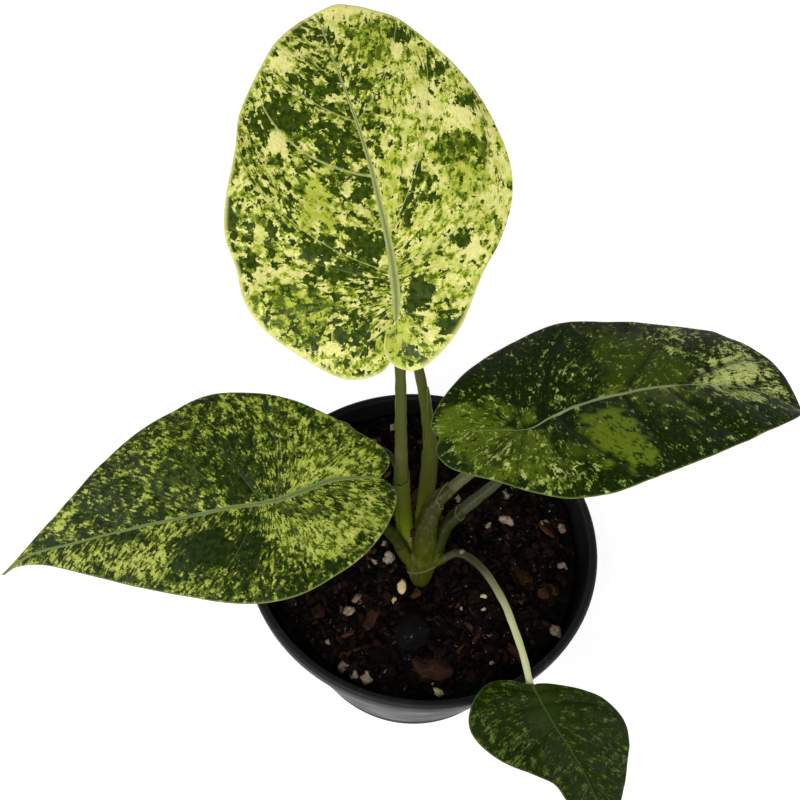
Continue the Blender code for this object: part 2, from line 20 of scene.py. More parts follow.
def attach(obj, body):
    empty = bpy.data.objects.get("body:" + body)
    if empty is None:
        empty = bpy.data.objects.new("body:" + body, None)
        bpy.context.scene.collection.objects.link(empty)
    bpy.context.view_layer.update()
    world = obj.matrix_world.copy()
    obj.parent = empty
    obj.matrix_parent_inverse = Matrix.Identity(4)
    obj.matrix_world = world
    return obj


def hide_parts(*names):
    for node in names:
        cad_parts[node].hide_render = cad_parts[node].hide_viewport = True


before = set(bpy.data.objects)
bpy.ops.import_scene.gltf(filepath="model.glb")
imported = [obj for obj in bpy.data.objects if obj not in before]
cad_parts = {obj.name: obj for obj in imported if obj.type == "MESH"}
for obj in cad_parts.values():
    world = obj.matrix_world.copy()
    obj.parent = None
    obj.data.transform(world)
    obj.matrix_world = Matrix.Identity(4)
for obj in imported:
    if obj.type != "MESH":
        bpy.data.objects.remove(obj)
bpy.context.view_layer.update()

LOG = logging.getLogger("potted_alocasia")
MM = 0.001
BODY = "root"
DENSE_STEPS = 24
LATTICE = 64
RIB_STEPS = 300
MARGIN_STEPS = 500
BEND_STEPS = 600
VEIN_ROWS = 0.0024
LEAST_STEP = 8.0
MERGE_DISTANCE = 1e-7
NOISE_SPREAD = 0.087
CELL_SPREAD = 0.214
ROD_SIDES = 24
ALL_SHEATH = 99.0
Point = tuple[float, float]
Place = tuple[float, float, float]
Colour = tuple[float, float, float]
Faces = list[Sequence[int]]
Array = np.ndarray
Marks = dict[str, Array]
Material = bpy.types.Material
Mesh = bpy.types.Mesh
NodeTree = bpy.types.NodeTree
Socket = bpy.types.NodeSocket


class Slot(Enum):
    """The record's material slots."""

    POT = "pot"
    SOIL = "soil"
    STALK = "stalk"
    PALE = "pale_leaf"
    MOTTLED = "mottled_leaf"
    DARK = "dark_leaf"


class Side(Enum):
    """The two halves of a blade, by the sign of x."""

    RIGHT = 1
    LEFT = -1


# Shapes from numbers


def smooth_line(points: Sequence[Sequence[float]], count: int) -> Array:
    """A rounded line through some points.

    Args:
        points: The points it passes through.
        count: How many equal steps it is cut into.

    Returns:
        count + 1 places at equal steps along it.
    """
    given = np.array(points, float)
    ends = np.vstack([2 * given[0] - given[1], given, 2 * given[-1] - given[-2]])
    share = np.linspace(0, 1, DENSE_STEPS, endpoint=False)[:, None]
    parts = []
    for before, start, end, after in zip(ends, ends[1:], ends[2:], ends[3:], strict=False):
        slope, bend = end - before, 2 * before - 5 * start + 4 * end - after
        turn = 3 * start - before - 3 * end + after
        parts.append(0.5 * (2 * start + slope * share + bend * share**2 + turn * share**3))
    dense = np.vstack([*parts, given[-1:]])
    walked = distances(dense)
    wanted = np.linspace(0, walked[-1], count + 1)
    return np.stack([np.interp(wanted, walked, dense[:, k]) for k in range(dense.shape[1])], axis=1)


def distances(line: Array) -> Array:
    """How far each point of a line is from its start, along the line."""
    return np.concatenate([[0], np.cumsum(np.linalg.norm(np.diff(line, axis=0), axis=1))])


def soft_noise(x: Array, y: Array, seed: int) -> Array:
    """Smooth random relief on a unit lattice.

    Args:
        x: First coordinate, in lattice steps.
        y: Second coordinate, in lattice steps.
        seed: Picks the pattern.

    Returns:
        Values from -1 to 1.
    """
    table = np.random.RandomState(seed).uniform(-1, 1, (LATTICE, LATTICE))
    column, row = np.floor(x).astype(int), np.floor(y).astype(int)
    across, down = x - column, y - row
    across = across * across * (3 - 2 * across)
    down = down * down * (3 - 2 * down)
    corner = [[table[(column + i) % LATTICE, (row + j) % LATTICE] for j in (0, 1)] for i in (0, 1)]
    low = corner[0][0] * (1 - across) + corner[1][0] * across
    high = corner[0][1] * (1 - across) + corner[1][1] * across
    return low * (1 - down) + high * down


def smooth_step(low: float, high: float, value: Array) -> Array:
    """A soft step from 0 at low to 1 at high."""
    share = np.clip((value - low) / (high - low), 0, 1)
    return share * share * (3 - 2 * share)


def circle(radius: float | Array, height: float, sides: int) -> Array:
    """Points on a level ring round the Z axis, from +X on."""
    angle = 2 * math.pi * np.arange(sides) / sides
    return np.stack([radius * np.cos(angle), radius * np.sin(angle), 0 * angle + height], axis=-1)


def turned_faces(rings: int, sides: int, closed: bool = True) -> Faces:
    """Faces over a first pole, rings of points and, where it is closed, a last pole.

    Args:
        rings: How many rings there are.
        sides: How many points each has.
        closed: Whether there is a last pole.

    Returns:
        Rows of point numbers, facing up where the rings grow outwards.
    """
    faces: Faces = []
    last = 1 + (rings - 1) * sides
    for k in range(sides):
        after = (k + 1) % sides
        faces.append((0, 1 + k, 1 + after))
        for start in range(1, last, sides):
            faces.append((start + k, start + sides + k, start + sides + after, start + after))
        if closed:
            faces.append((last + k, last + sides, last + after))
    return faces


# Meshes and pieces


def keep_marks(mesh: Mesh, marks: Marks) -> None:
    """Keeps values or vectors at a mesh's vertices.

    Args:
        mesh: The mesh.
        marks: What it keeps, by attribute name.
    """
    for label, values in marks.items():
        flat = values.ndim == 1
        layer = mesh.attributes.new(label, "FLOAT" if flat else "FLOAT_VECTOR", "POINT")
        layer.data.foreach_set("value" if flat else "vector", values.astype(np.float32).ravel())


def mesh_of(name: str, points: Array, faces: Faces, marks: Marks | None = None) -> Mesh:
    """A smooth-shaded mesh from points in millimetres.

    Args:
        name: The mesh's name.
        points: Its vertices.
        faces: Rows of vertex numbers.
        marks: Values or vectors to keep at each vertex, by attribute name.

    Returns:
        The mesh, in metres.
    """
    mesh = bpy.data.meshes.new(name)
    mesh.from_pydata((np.asarray(points) * MM).tolist(), [], faces)
    keep_marks(mesh, marks or {})
    mesh.shade_smooth()
    return mesh


def joined(name: str, meshes: Iterable[Mesh]) -> Mesh:
    """Joins meshes into a new one.

    Args:
        name: The new mesh's name.
        meshes: The meshes, which are removed.

    Returns:
        The new mesh, without a material.
    """
    shape = bmesh.new()
    for mesh in meshes:
        shape.from_mesh(mesh)
        bpy.data.meshes.remove(mesh)
    whole = bpy.data.meshes.new(name)
    shape.to_mesh(whole)
    shape.free()
    return whole


def face_out(mesh: Mesh) -> None:
    """Merges doubles and turns every face outwards.

    Args:
        mesh: The mesh, which is changed.
    """
    shape = bmesh.new()
    shape.from_mesh(mesh)
    bmesh.ops.remove_doubles(shape, verts=shape.verts[:], dist=MERGE_DISTANCE)
    bmesh.ops.recalc_face_normals(shape, faces=shape.faces[:])
    shape.to_mesh(mesh)
    shape.free()


def placed(name: str, data: bpy.types.ID) -> bpy.types.Object:
    """Puts an object in the scene.

    Args:
        name: Its name.
        data: Its mesh, camera or light.

    Returns:
        The object.
    """
    thing = bpy.data.objects.new(name, data)
    bpy.context.scene.collection.objects.link(thing)
    return thing


def solved(carrier: bpy.types.Object, name: str) -> Mesh:
    """What an object's modifiers make of it, as a plain mesh.

    Args:
        carrier: The object, which is removed.
        name: The mesh's name.

    Returns:
        The mesh.
    """
    bpy.context.view_layer.update()
    graph = bpy.context.evaluated_depsgraph_get()
    mesh = bpy.data.meshes.new_from_object(carrier.evaluated_get(graph))
    mesh.name = name
    bpy.data.objects.remove(carrier, do_unlink=True)
    return mesh


def new_piece(name: str, mesh: Mesh, finish: Material, slot: Slot) -> bpy.types.Object:
    """Puts a finished mesh in the scene as a piece of the plant.

    Args:
        name: The piece's name.
        mesh: Its mesh, in place, in metres.
        finish: Its material.
        slot: The record's slot its finish belongs to; not used.

    Returns:
        The piece, riding on the one body.
    """
    if finish.name not in mesh.materials:
        mesh.materials.clear()
        mesh.materials.append(finish)
    piece = placed(name, mesh)
    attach(piece, BODY)
    LOG.info("%s: %d faces", name, len(mesh.polygons))
    return piece


# Node trees


class Sheet:
    """Writes a node tree, one call a node, so that a finish reads from top to bottom."""

    def __init__(self, tree: NodeTree) -> None:
        """Keeps the tree to write in."""
        self.tree = tree

    def node(self, kind: str, inputs: dict[Any, Any] | None = None, **settings: Any) -> bpy.types.Node:
        """Adds a node.

        Args:
            kind: Blender's name for the node.
            inputs: Values or sockets, by the input's name or number.
            **settings: The node's own settings.

        Returns:
            The node.
        """
        made = self.tree.nodes.new(kind)
        for key, value in settings.items():
            setattr(made, key, value)
        for key, value in (inputs or {}).items():
            if isinstance(value, Socket):
                self.tree.links.new(value, made.inputs[key])
            else:
                made.inputs[key].default_value = value
        return made

    def feed(self, node: bpy.types.Node, **values: Socket) -> None:
        """Links values to a node's inputs, with _ for a space in their names."""
        for name, value in values.items():
            self.tree.links.new(value, node.inputs[name.replace("_", " ")])

    def group(self, tree: NodeTree, **inputs: Any) -> Any:
        """The outputs of a shared group, placed with its own values."""
        return self.node("ShaderNodeGroup", inputs, node_tree=tree).outputs

    def maths(self, operation: str, first: Any, second: Any = 0.0) -> Socket:
        """One step of arithmetic on two values."""
        return self.node("ShaderNodeMath", {0: first, 1: second}, operation=operation).outputs[0]

    def plus(self, first: Any, second: Any) -> Socket:
        """Adds two values."""
        return self.maths("ADD", first, second)

    def less(self, first: Any, second: Any) -> Socket:
        """Takes the second value from the first."""
        return self.maths("SUBTRACT", first, second)

    def times(self, first: Any, second: Any) -> Socket:
        """Multiplies two values."""
        return self.maths("MULTIPLY", first, second)

    def centred(self, value: Any, reach: float) -> Socket:
        """Turns a value around 0.5 into one around 0, and scales it."""
        return self.times(self.less(value, 0.5), reach)

    def blend(self, share: Any, first: Any, second: Any) -> Socket:
        """Mixes two colours by a share from 0 to 1."""
        first, second = ((*c, 1.0) if isinstance(c, tuple) else c for c in (first, second))
        return self.node("ShaderNodeMix", {0: share, 6: first, 7: second}, data_type="RGBA").outputs[2]

    def between(self, share: Any, first: Any, second: Any) -> Socket:
        """Mixes two numbers by a share from 0 to 1."""
        return self.node("ShaderNodeMix", {0: share, 2: first, 3: second}, data_type="FLOAT").outputs[0]

    def step(self, value: Any, low: Any, high: Any) -> Socket:
        """A soft step of a value, 0 at low and 1 at high."""
        inputs = {"Value": value, "From Min": low, "From Max": high}
        return self.node("ShaderNodeMapRange", inputs, interpolation_type="SMOOTHSTEP").outputs[0]

    def noise(
        self, vector: Any, scale: Any = 1.0, detail: float = 2.0, rough: float = 0.5, output: int = 0
    ) -> Socket:
        """A noise value around 0.5, or with output 1 a noise colour."""
        inputs = {"Vector": vector, "Scale": scale, "Detail": detail, "Roughness": rough}
        return self.node("ShaderNodeTexNoise", inputs).outputs[output]

    def vector(self, operation: str, first: Any, second: Any) -> Socket:
        """One step of arithmetic on two vectors."""
        return self.node("ShaderNodeVectorMath", {0: first, 1: second}, operation=operation).outputs[0]

    def scaled(self, vector: Any, scale: Any) -> Socket:
        """A vector times a number."""
        return self.node("ShaderNodeVectorMath", {0: vector, "Scale": scale}, operation="SCALE").outputs[0]

    def stretch(self, vector: Any, scale: Any, shift: Any = (0.0, 0.0, 0.0)) -> Socket:
        """Scales and shifts coordinates."""
        inputs = {0: vector, 1: scale, 2: shift}
        return self.node("ShaderNodeVectorMath", inputs, operation="MULTIPLY_ADD").outputs[0]

    def triple(self, x: Any, y: Any, z: Any) -> Socket:
        """A vector from three numbers."""
        return self.node("ShaderNodeCombineXYZ", {0: x, 1: y, 2: z}).outputs[0]

    def mark(self, label: str, kind: str = "Fac") -> Socket:
        """What a mesh keeps under an attribute name."""
        return self.node("ShaderNodeAttribute", attribute_name=label).outputs[kind]

    def spot(self) -> Socket:
        """The point in Object coordinates, in metres."""
        return self.node("ShaderNodeTexCoord").outputs["Object"]

    def bump(self, height: Any, strength: float, distance: float) -> Socket:
        """Normals for a relief."""
        return self.node("ShaderNodeBump", {"Height": height, "Strength": strength, "Distance": distance}).outputs[0]


def new_group(name: str, inputs: dict[str, Any], outputs: Sequence[str]) -> tuple[Sheet, Any, Any]:
    """Starts a shader node group.

    Args:
        name: The group's name.
        inputs: Its inputs' values, by name; three numbers make a vector.
        outputs: The names of its outputs, each a number.

    Returns:
        The sheet to write in, its inputs' sockets and its output node.
    """
    tree = bpy.data.node_groups.new(name, "ShaderNodeTree")
    for label, value in inputs.items():
        kind = "NodeSocketVector" if isinstance(value, tuple) else "NodeSocketFloat"
        tree.interface.new_socket(label, in_out="INPUT", socket_type=kind).default_value = value
    for label in outputs:
        tree.interface.new_socket(label, in_out="OUTPUT", socket_type="NodeSocketFloat")
    sheet = Sheet(tree)
    return sheet, sheet.node("NodeGroupInput").outputs, sheet.node("NodeGroupOutput")


class Effects:
    """The shader groups that several finishes share, each built once."""

    def __init__(self) -> None:
        """Builds the groups."""
        self.marbling = self.make_marbling()
        self.net = self.make_net()
        self.grain = self.make_grain()
        self.scuffs = self.make_scuffs()

    def make_marbling(self) -> NodeTree:
        """Splashes, streaks along the side veins and crisp cells, as a level that cover shifts.

        Returns:
            The group; its level is below 0 on the share of the surface that cover gives.
        """
        sizes = {"Cover": 0.5, "Blotch": 5.0, "Streak": 1.2, "Length": 3.0, "Cell": 0.5, "Shift": 0.0}
        inputs = {"Plan": (0.0, 0.0, 0.0), "Flow": (0.0, 0.0, 0.0), **sizes}
        sheet, given, made = new_group("variegation marbling", inputs, ("Level",))
        shift = sheet.triple(given["Shift"], 3.1, 0.0)
        large, narrow, tiny = (sheet.maths("DIVIDE", 1.0, given[size]) for size in ("Blotch", "Streak", "Cell"))
        long = sheet.maths("DIVIDE", narrow, given["Length"])
        moved = sheet.vector("ADD", given["Plan"], shift)
        flowing = sheet.stretch(given["Flow"], sheet.triple(narrow, long, 1.0), shift)
        bent = sheet.stretch(sheet.noise(moved, 1.1, output=1), (1.6, 1.6, 0.0), moved)
        cells = sheet.node("ShaderNodeTexVoronoi", {"Vector": bent, "Scale": tiny}).outputs["Color"]
        level: Any = 0.0
        for value, spread, weight in (
            (sheet.noise(moved, large), NOISE_SPREAD, 0.58),
            (sheet.noise(flowing), NOISE_SPREAD, 0.60),
            (sheet.plus(cells, 0.0), CELL_SPREAD, 0.50),
        ):
            level = sheet.plus(level, sheet.centred(value, weight / spread))
        away = sheet.less(given["Cover"], 0.5)
        steep = sheet.times(sheet.maths("POWER", sheet.maths("ABSOLUTE", away), 4.0), 60.0)
        sheet.feed(made, Level=sheet.less(level, sheet.times(away, sheet.plus(steep, 2.3))))
        return sheet.tree

    def make_net(self) -> NodeTree:
        """The fine net of veins between the side veins.

        Returns:
            The group.
        """
        inputs = {"Flow": (0.0, 0.0, 0.0), "Cell": 3.0, "Width": 0.05}
        sheet, given, made = new_group("fine vein net", inputs, ("Lines",))
        size = sheet.maths("DIVIDE", 1.0, given["Cell"])
        bent = sheet.stretch(sheet.noise(given["Flow"], 0.6, output=1), (1.3, 1.3, 0.0), given["Flow"])
        inputs = {"Vector": bent, "Scale": size}
        cells = sheet.node("ShaderNodeTexVoronoi", inputs, feature="DISTANCE_TO_EDGE").outputs[0]
        sheet.feed(made, Lines=sheet.less(1.0, sheet.step(cells, 0.0, given["Width"])))
        return sheet.tree

    def make_grain(self) -> NodeTree:
        """Fine and coarse grain as one height and one spread of values.

        Returns:
            The group.
        """
        inputs = {"Vector": (0.0, 0.0, 0.0), "Fine": 2.0, "Coarse": 0.3}
        sheet, given, made = new_group("fine grain", inputs, ("Height", "Spread"))
        fine = sheet.noise(given["Vector"], given["Fine"], 2.0, 0.6)
        coarse = sheet.noise(given["Vector"], given["Coarse"], 3.0)
        height = sheet.plus(sheet.times(fine, 0.4), sheet.times(coarse, 0.6))
        sheet.feed(made, Height=height, Spread=sheet.step(coarse, 0.3, 0.7))
        return sheet.tree

    def make_scuffs(self) -> NodeTree:
        """Thin scratches and a thin film of dust.

        Returns:
            The group.
        """
        inputs = {"Vector": (0.0, 0.0, 0.0), "Amount": 0.5}
        sheet, given, made = new_group("scuffs and dust", inputs, ("Scratches", "Dust"))
        masks = []
        for turned in ((300.0, 14.0, 40.0), (20.0, 260.0, 30.0)):
            lines = sheet.noise(sheet.stretch(given["Vector"], turned), 1.0, 2.0, 0.6)
            masks.append(sheet.step(lines, 0.66, 0.74))
        scratches = sheet.times(sheet.maths("MAXIMUM", *masks), given["Amount"])
        film = sheet.step(sheet.noise(given["Vector"], 60.0, 5.0, 0.7), 0.45, 0.75)
        sheet.feed(made, Scratches=scratches, Dust=sheet.times(film, given["Amount"]))
        return sheet.tree


def new_finish(name: str, **constants: Any) -> tuple[Material, Sheet, bpy.types.Node]:
    """Starts a material.

    Args:
        name: The material's name.
        **constants: Values for the shader's inputs, with _ for a space in their names.

    Returns:
        The material, the sheet of its tree and its shader.
    """
    made = bpy.data.materials.new(name)
    made.use_nodes = True
    shader = made.node_tree.nodes["Principled BSDF"]
    for key, value in constants.items():
        shader.inputs[key.replace("_", " ")].default_value = value
    return made, Sheet(made.node_tree), shader


# Leaves


@dataclass(frozen=True)
class LeafColours:
    """A blade's colours, from its palest tissue to its darkest, how its pattern is cut and how much painted shade
    darkens its vein valleys.
    """

    cream: Colour
    lime: Colour
    mid: Colour
    dusk: Colour
    dark: Colour
    vein: Colour
    rib: Colour
    rib_core: Colour
    edge: Colour
    blotch: float = 2.8
    streak: float = 1.4
    length: float = 2.2
    cell: float = 0.75
    vein_share: float = 0.7
    # furrow: how much painted shade, in the dark colour, fills the side veins' valleys
    furrow: float = 0.12
    glow: float = 0.0
    soft: float = 0.09
    edge_width: float = 0.6
    edge_share: float = 0.85
    under_share: float = 0.55
    under_rough: float = 0.6
    roughness: float = 0.34
    gloss: float = 0.12
    relief: float = 0.4
    relief_depth: float = 0.0002
    shift: float = 0.0

    def marbled(self, sheet: Sheet, effects: Effects, plan: Any, flow: Any) -> Socket:
        """The variegation: dark tissue that thins through three greens to pale tissue.

        Args:
            sheet: The material's tree.
            effects: The shared groups.
            plan: The point in the flat blade.
            flow: The point along and across the side veins.

        Returns:
            The colour.
        """
        cut = {"Plan": plan, "Flow": flow, "Blotch": self.blotch, "Streak": self.streak, "Length": self.length}
        level = sheet.group(effects.marbling, Cover=sheet.mark("cover"), Cell=self.cell, Shift=self.shift, **cut)[0]
        veil = sheet.mark("veil")
        finer = {"Cell": 0.8 * self.cell, "Shift": self.shift + 50.0}
        greens = sheet.group(effects.marbling, Cover=veil, **finer, **cut)[0]
        drift = sheet.noise(sheet.stretch(plan, (1.0, 1.0, 1.0), (9.0, 4.0, 0.0)), 0.28, 3.0, 0.6)
        tone = sheet.plus(sheet.mark("lime"), sheet.centred(drift, 2.4))
        tissue = sheet.blend(sheet.step(tone, 0.0, 1.0), self.cream, self.lime)
        for further, soft, colour in ((0.45, 0.22, self.lime), (0.0, 0.14, self.mid), (-0.9, 0.14, self.dusk)):
            tissue = sheet.blend(sheet.step(greens, further + soft, further - soft), tissue, colour)
        rim = sheet.times(sheet.step(level, 0.32, 0.08), 0.5)
        tissue = sheet.blend(rim, tissue, self.mid)
        # Painted sheen: the dark tissue drifts by noise towards a lighter dark
        depth = sheet.step(sheet.noise(plan, 0.6, 3.0, 0.6), 0.35, 0.65)
        dark = sheet.blend(depth, self.dark, tuple((d + u) / 2 for d, u in zip(self.dark, self.dusk)))
        if self.glow:
            lit = sheet.times(sheet.step(veil, 0.35, 1.0), self.glow)
            dark = sheet.blend(lit, dark, self.mid)
        return sheet.blend(sheet.step(level, self.soft, -self.soft), tissue, dark)

    def build(self, name: str, effects: Effects) -> Material:
        """The blade's material.

        Args:
            name: The material's name.
            effects: The shared groups.

        Returns:
            The material.
        """
        made, sheet, shader = new_finish(name, Specular_IOR_Level=self.gloss)
        plan, flow = sheet.mark("plan", "Vector"), sheet.mark("flow", "Vector")
        fine = sheet.noise(sheet.stretch(flow, (2.2, 0.7, 1.0)), 1.0, 3.0, 0.65)
        shade = sheet.between(sheet.step(fine, 0.3, 0.7), 0.84, 1.12)
        tissue = sheet.vector("MULTIPLY", self.marbled(sheet, effects, plan, flow), sheet.triple(shade, shade, shade))
        along_rib = sheet.noise(sheet.stretch(flow, (0.3, 3.0, 0.0)))
        rib = sheet.blend(sheet.step(along_rib, 0.3, 0.75), self.rib, tuple(c * 0.8 for c in self.rib))
        from_rib, below = sheet.mark("rib"), sheet.mark("under")
        rib = sheet.blend(sheet.step(from_rib, 0.65, 0.15), rib, self.rib_core)
        under = tuple(0.45 * m + 0.25 * c + 0.2 * p for m, c, p in zip(self.mid, self.lime, self.dusk))
        # Painted shade in the side veins' valleys comes first, then the veins, margin, rib and underside
        for share, colour in (
            (sheet.times(sheet.step(sheet.mark("valley"), 0.15, 0.9), self.furrow), self.dark),
            (sheet.times(sheet.step(sheet.mark("vein"), 0.35, 0.85), self.vein_share), self.vein),
            (sheet.times(sheet.step(sheet.mark("edge"), self.edge_width, 0.0), self.edge_share), self.edge),
            (sheet.step(from_rib, 1.15, 0.85), rib),
            (sheet.times(below, self.under_share), under),
        ):
            tissue = sheet.blend(share, tissue, colour)
        grain = sheet.group(effects.grain, Vector=plan, Fine=2.6, Coarse=0.5)
        rough = sheet.between(grain["Spread"], self.roughness - 0.06, self.roughness + 0.08)
        net = sheet.group(effects.net, Flow=plan, Cell=2.4, Width=0.09)[0]
        height = sheet.less(grain["Height"], sheet.times(net, 0.3))
        normal = sheet.bump(height, self.relief, self.relief_depth)
        rough = sheet.between(below, rough, self.under_rough)
        sheet.feed(shader, Base_Color=tissue, Roughness=rough, Normal=normal)
        return made


@dataclass(frozen=True)
class LeafBlade:
    """One leaf blade: how it is set, its outline, how it bends, its veins and where its pattern gathers.

    flow has one row a place on the rib: its station, then for the right and the left half the share of
    the margin that its side vein runs to, the vein's bow and its strength. patches are ellipses: x, t,
    half sizes across and along, turn, then the cover of dark tissue, of green veil, and the tone.
    """

    node: str
    slot: Slot
    colours: LeafColours
    joint: Place
    turns: Place
    length: float
    lobe: float
    half_width: float
    right: Sequence[Point]
    left: Sequence[Point]
    rib: Sequence[Point]
    rib_width: Sequence[Point]
    flow: Sequence[Sequence[float]]
    patches: Sequence[Sequence[float]] = ()
    ground: Place = (0.5, 0.3, 0.3)
    bend: float = 22.0
    lobe_bend: float = 25.0
    fold: float = 0.14
    arch: float = 4.0
    wave: float = 0.7
    waves: float = 3.0
    curl: float = 0.0
    curl_share: float = 0.14
    flap: float = 0.0
    rows: int = 120
    columns: int = 46
    thickness: float = 0.5
    thin_edge: float = 0.9
    quilt: float = 0.45
    groove: float = 0.14
    furrow: float = 0.9
    vein_width: float = 0.26
    crease: float = 2.0
    ridge: float = 0.22
    keel: float = 0.9
    buckle: float = 0.28
    pucker: float = 0.09
    frill: float = 0.22
    seed: int = 1

    def rib_slope(self, t: Array) -> Array:
        """The rib's slope.

        Args:
            t: Stations along the blade.

        Returns:
            Its slope at each, in radians.
        """
        curl_from = self.length * (1 - self.curl_share)
        curl = self.curl * np.clip((t - curl_from) / (self.length - curl_from), 0, None)
        droop = -self.bend * np.clip(t, 0, None) / self.length - curl
        return np.radians(droop + self.lobe_bend * np.clip(-t, 0, None) / self.lobe)

    def rib_x(self, t: Array) -> Array:
        """How far the rib lies sideways at t."""
        line = smooth_line(self.rib, RIB_STEPS)
        return np.interp(t, line[:, 1], line[:, 0])

    def place(self, x: Array, t: Array, lift: Array) -> Array:
        """World places of blade points.

        Args:
            x: How far right of the joint, in the flat blade.
            t: How far towards the tip, in the flat blade.
            lift: How far above the folded, arched and bent sheet.

        Returns:
            Places in millimetres.
        """
        grid = np.linspace(-1.6 * self.lobe, 1.2 * self.length, BEND_STEPS)
        slope, here = self.rib_slope(grid), self.rib_slope(t)
        runs = []
        for way in (np.cos(slope), np.sin(slope)):
            run = np.concatenate([[0], np.cumsum((way[1:] + way[:-1]) / 2 * (grid[1] - grid[0]))])
            runs.append(np.interp(t, grid, run - np.interp(0, grid, run)))
        across = x - self.rib_x(t)
        height = self.fold * (np.sqrt(across**2 + self.crease**2) - self.crease)
        height = height - self.arch * (across / self.half_width) ** 2 + lift
        forward, up = runs[0] - np.sin(here) * height, runs[1] + np.cos(here) * height
        heading, pitch, roll = (math.radians(a) for a in self.turns)
        turn = Matrix.Rotation(heading, 3, "Z") @ Matrix.Rotation(pitch, 3, "X") @ Matrix.Rotation(roll, 3, "Y")
        return np.array(self.joint) + np.stack([x, forward, up], axis=-1) @ np.array(turn).T

    def row_marks(self) -> tuple[Array, Array]:
        """Where the rows of the mesh lie from tip to notch, denser at the veins.

        Returns:
            The rows, and those of them that are the rows of the flow table.
        """
        table = np.array(self.flow, float)
        marks = (table[:, 1] + table[:, 4]) / 2
        near = [marks + k * VEIN_ROWS for k in (-2, -1, 1, 2)]
        rows = np.concatenate([np.linspace(0, 1, self.rows + 1), marks, *near])
        return np.unique(np.round(rows[(rows >= 0) & (rows <= 1)], 5)), marks

    def veins(self, strengths: Array, away: Array, rows: Array, marks: Array) -> Marks:
        """The side veins of one half, their valleys and the pillows between them.

        Args:
            strengths: How strong each side vein is.
            away: How many millimetres one unit of rows is at each point of the grid.
            rows: The rows from tip to notch.
            marks: The side veins' rows.

        Returns:
            Grids of vein, shaded valley and relief; the shaded valley also places the finish's painted shade.
        """
        reach = self.reaches()
        vein, groove = np.zeros(away.shape), np.zeros(away.shape)
        width = self.vein_width * (1 - 0.65 * reach)[None, :] + 0.08
        for mark, strength in zip(marks, strengths):
            off = np.abs(rows - mark)[:, None] * np.maximum(away, LEAST_STEP)
            vein = np.maximum(vein, strength * np.clip(1 - off / width, 0, 1))
            groove = np.maximum(groove, strength * np.exp(-((off / self.furrow) ** 2)))
        strong = strengths > 0.3
        phase = np.interp(rows, marks[strong], np.arange(strong.sum()))
        pillow = np.abs(np.sin(math.pi * phase))[:, None] * np.sqrt(reach * (1 - reach))[None, :] * 2
        valley = groove * (1 - reach)[None, :] ** 0.35
        return {"vein": vein, "valley": valley, "relief": self.quilt * pillow - self.groove * valley}

    def reaches(self) -> Array:
        """Shares of the way from the rib to the margin, closer at both."""
        spread = np.linspace(0, 1, self.columns + 1)
        return 0.75 * spread + 0.125 * (1 - np.cos(math.pi * spread))

    def half(self, side: Side, rows: Array, marks: Array) -> Marks:
        """One half of the sheet as a grid from the rib to the margin.

        Args:
            side: Which half.
            rows: The rows from tip to notch.
            marks: The rows of the flow table.

        Returns:
            Grids of plan, share, reach and of the marks that the finish reads.
        """
        table = np.array(self.flow, float)
        first = 1 if side is Side.RIGHT else 4
        share, bow, station = (np.interp(rows, marks, table[:, column]) for column in (first, first + 1, 0))
        margin = smooth_line(self.right if side is Side.RIGHT else self.left, MARGIN_STEPS)
        steps = np.linspace(0, 1, MARGIN_STEPS + 1)
        edge = np.stack([np.interp(share, steps, margin[:, k]) for k in (0, 1)], axis=-1)
        rib = np.stack([self.rib_x(station), station], axis=-1)
        rib[0], rib[-1] = edge[0], edge[-1]
        reach = self.reaches()
        chord = edge - rib
        normal = np.stack([chord[:, 1], -chord[:, 0]], axis=-1) * side.value
        v = reach[None, :, None]
        plan = rib[:, None] + chord[:, None] * v + normal[:, None] * (bow[:, None, None] * 4 * v * (1 - v))
        across, along = np.gradient(plan, rows, axis=0), np.gradient(plan, reach, axis=1)
        unit = along / np.maximum(np.linalg.norm(along, axis=2, keepdims=True), 1e-6)
        gap = np.abs(across[..., 0] * unit[..., 1] - across[..., 1] * unit[..., 0])
        spacing = gap[:, int(0.6 * self.columns)]
        walked = np.concatenate([[0], np.cumsum((spacing[1:] + spacing[:-1]) / 2 * np.diff(rows))])
        length = np.linalg.norm(chord, axis=1)[:, None]
        shape = plan.shape[:2]
        flow = (np.broadcast_to(walked[:, None], shape), reach[None, :] * length, np.full(shape, 40.0 * side.value))
        return {
            "plan": plan,
            "share": np.broadcast_to(share[:, None], shape),
            "reach": np.broadcast_to(reach[None, :], shape),
            "flow": np.stack(flow, axis=-1),
            "edge": (1 - reach)[None, :] * length,
            **self.veins(table[:, first + 2], gap, rows, marks),
        }

    def pattern(self, x: Array, t: Array) -> Marks:
        """How much dark tissue, green veil and lime tone each point has.

        Args:
            x: How far right of the joint.
            t: How far towards the tip.

        Returns:
            The marks cover, veil and lime.
        """
        layers = [np.full(x.shape, value, float) for value in self.ground]
        warp = 0.42 * soft_noise(x / 2.9, t / 2.9, self.seed + 50)
        warp = warp + 0.26 * soft_noise(x / 1.2, t / 1.2, self.seed + 51)
        for px, pt, across, along, turn, *wanted in self.patches:
            angle = math.radians(turn)
            dx, dt = x - px, t - pt
            u = (dx * math.cos(angle) - dt * math.sin(angle)) / across
            v = (dx * math.sin(angle) + dt * math.cos(angle)) / along
            weight = 1 - smooth_step(0.6, 1.3, np.hypot(u, v) + warp)
            for layer, value in zip(layers, wanted, strict=True):
                layer += (value - layer) * weight
        return dict(zip(("cover", "veil", "lime"), layers, strict=True))

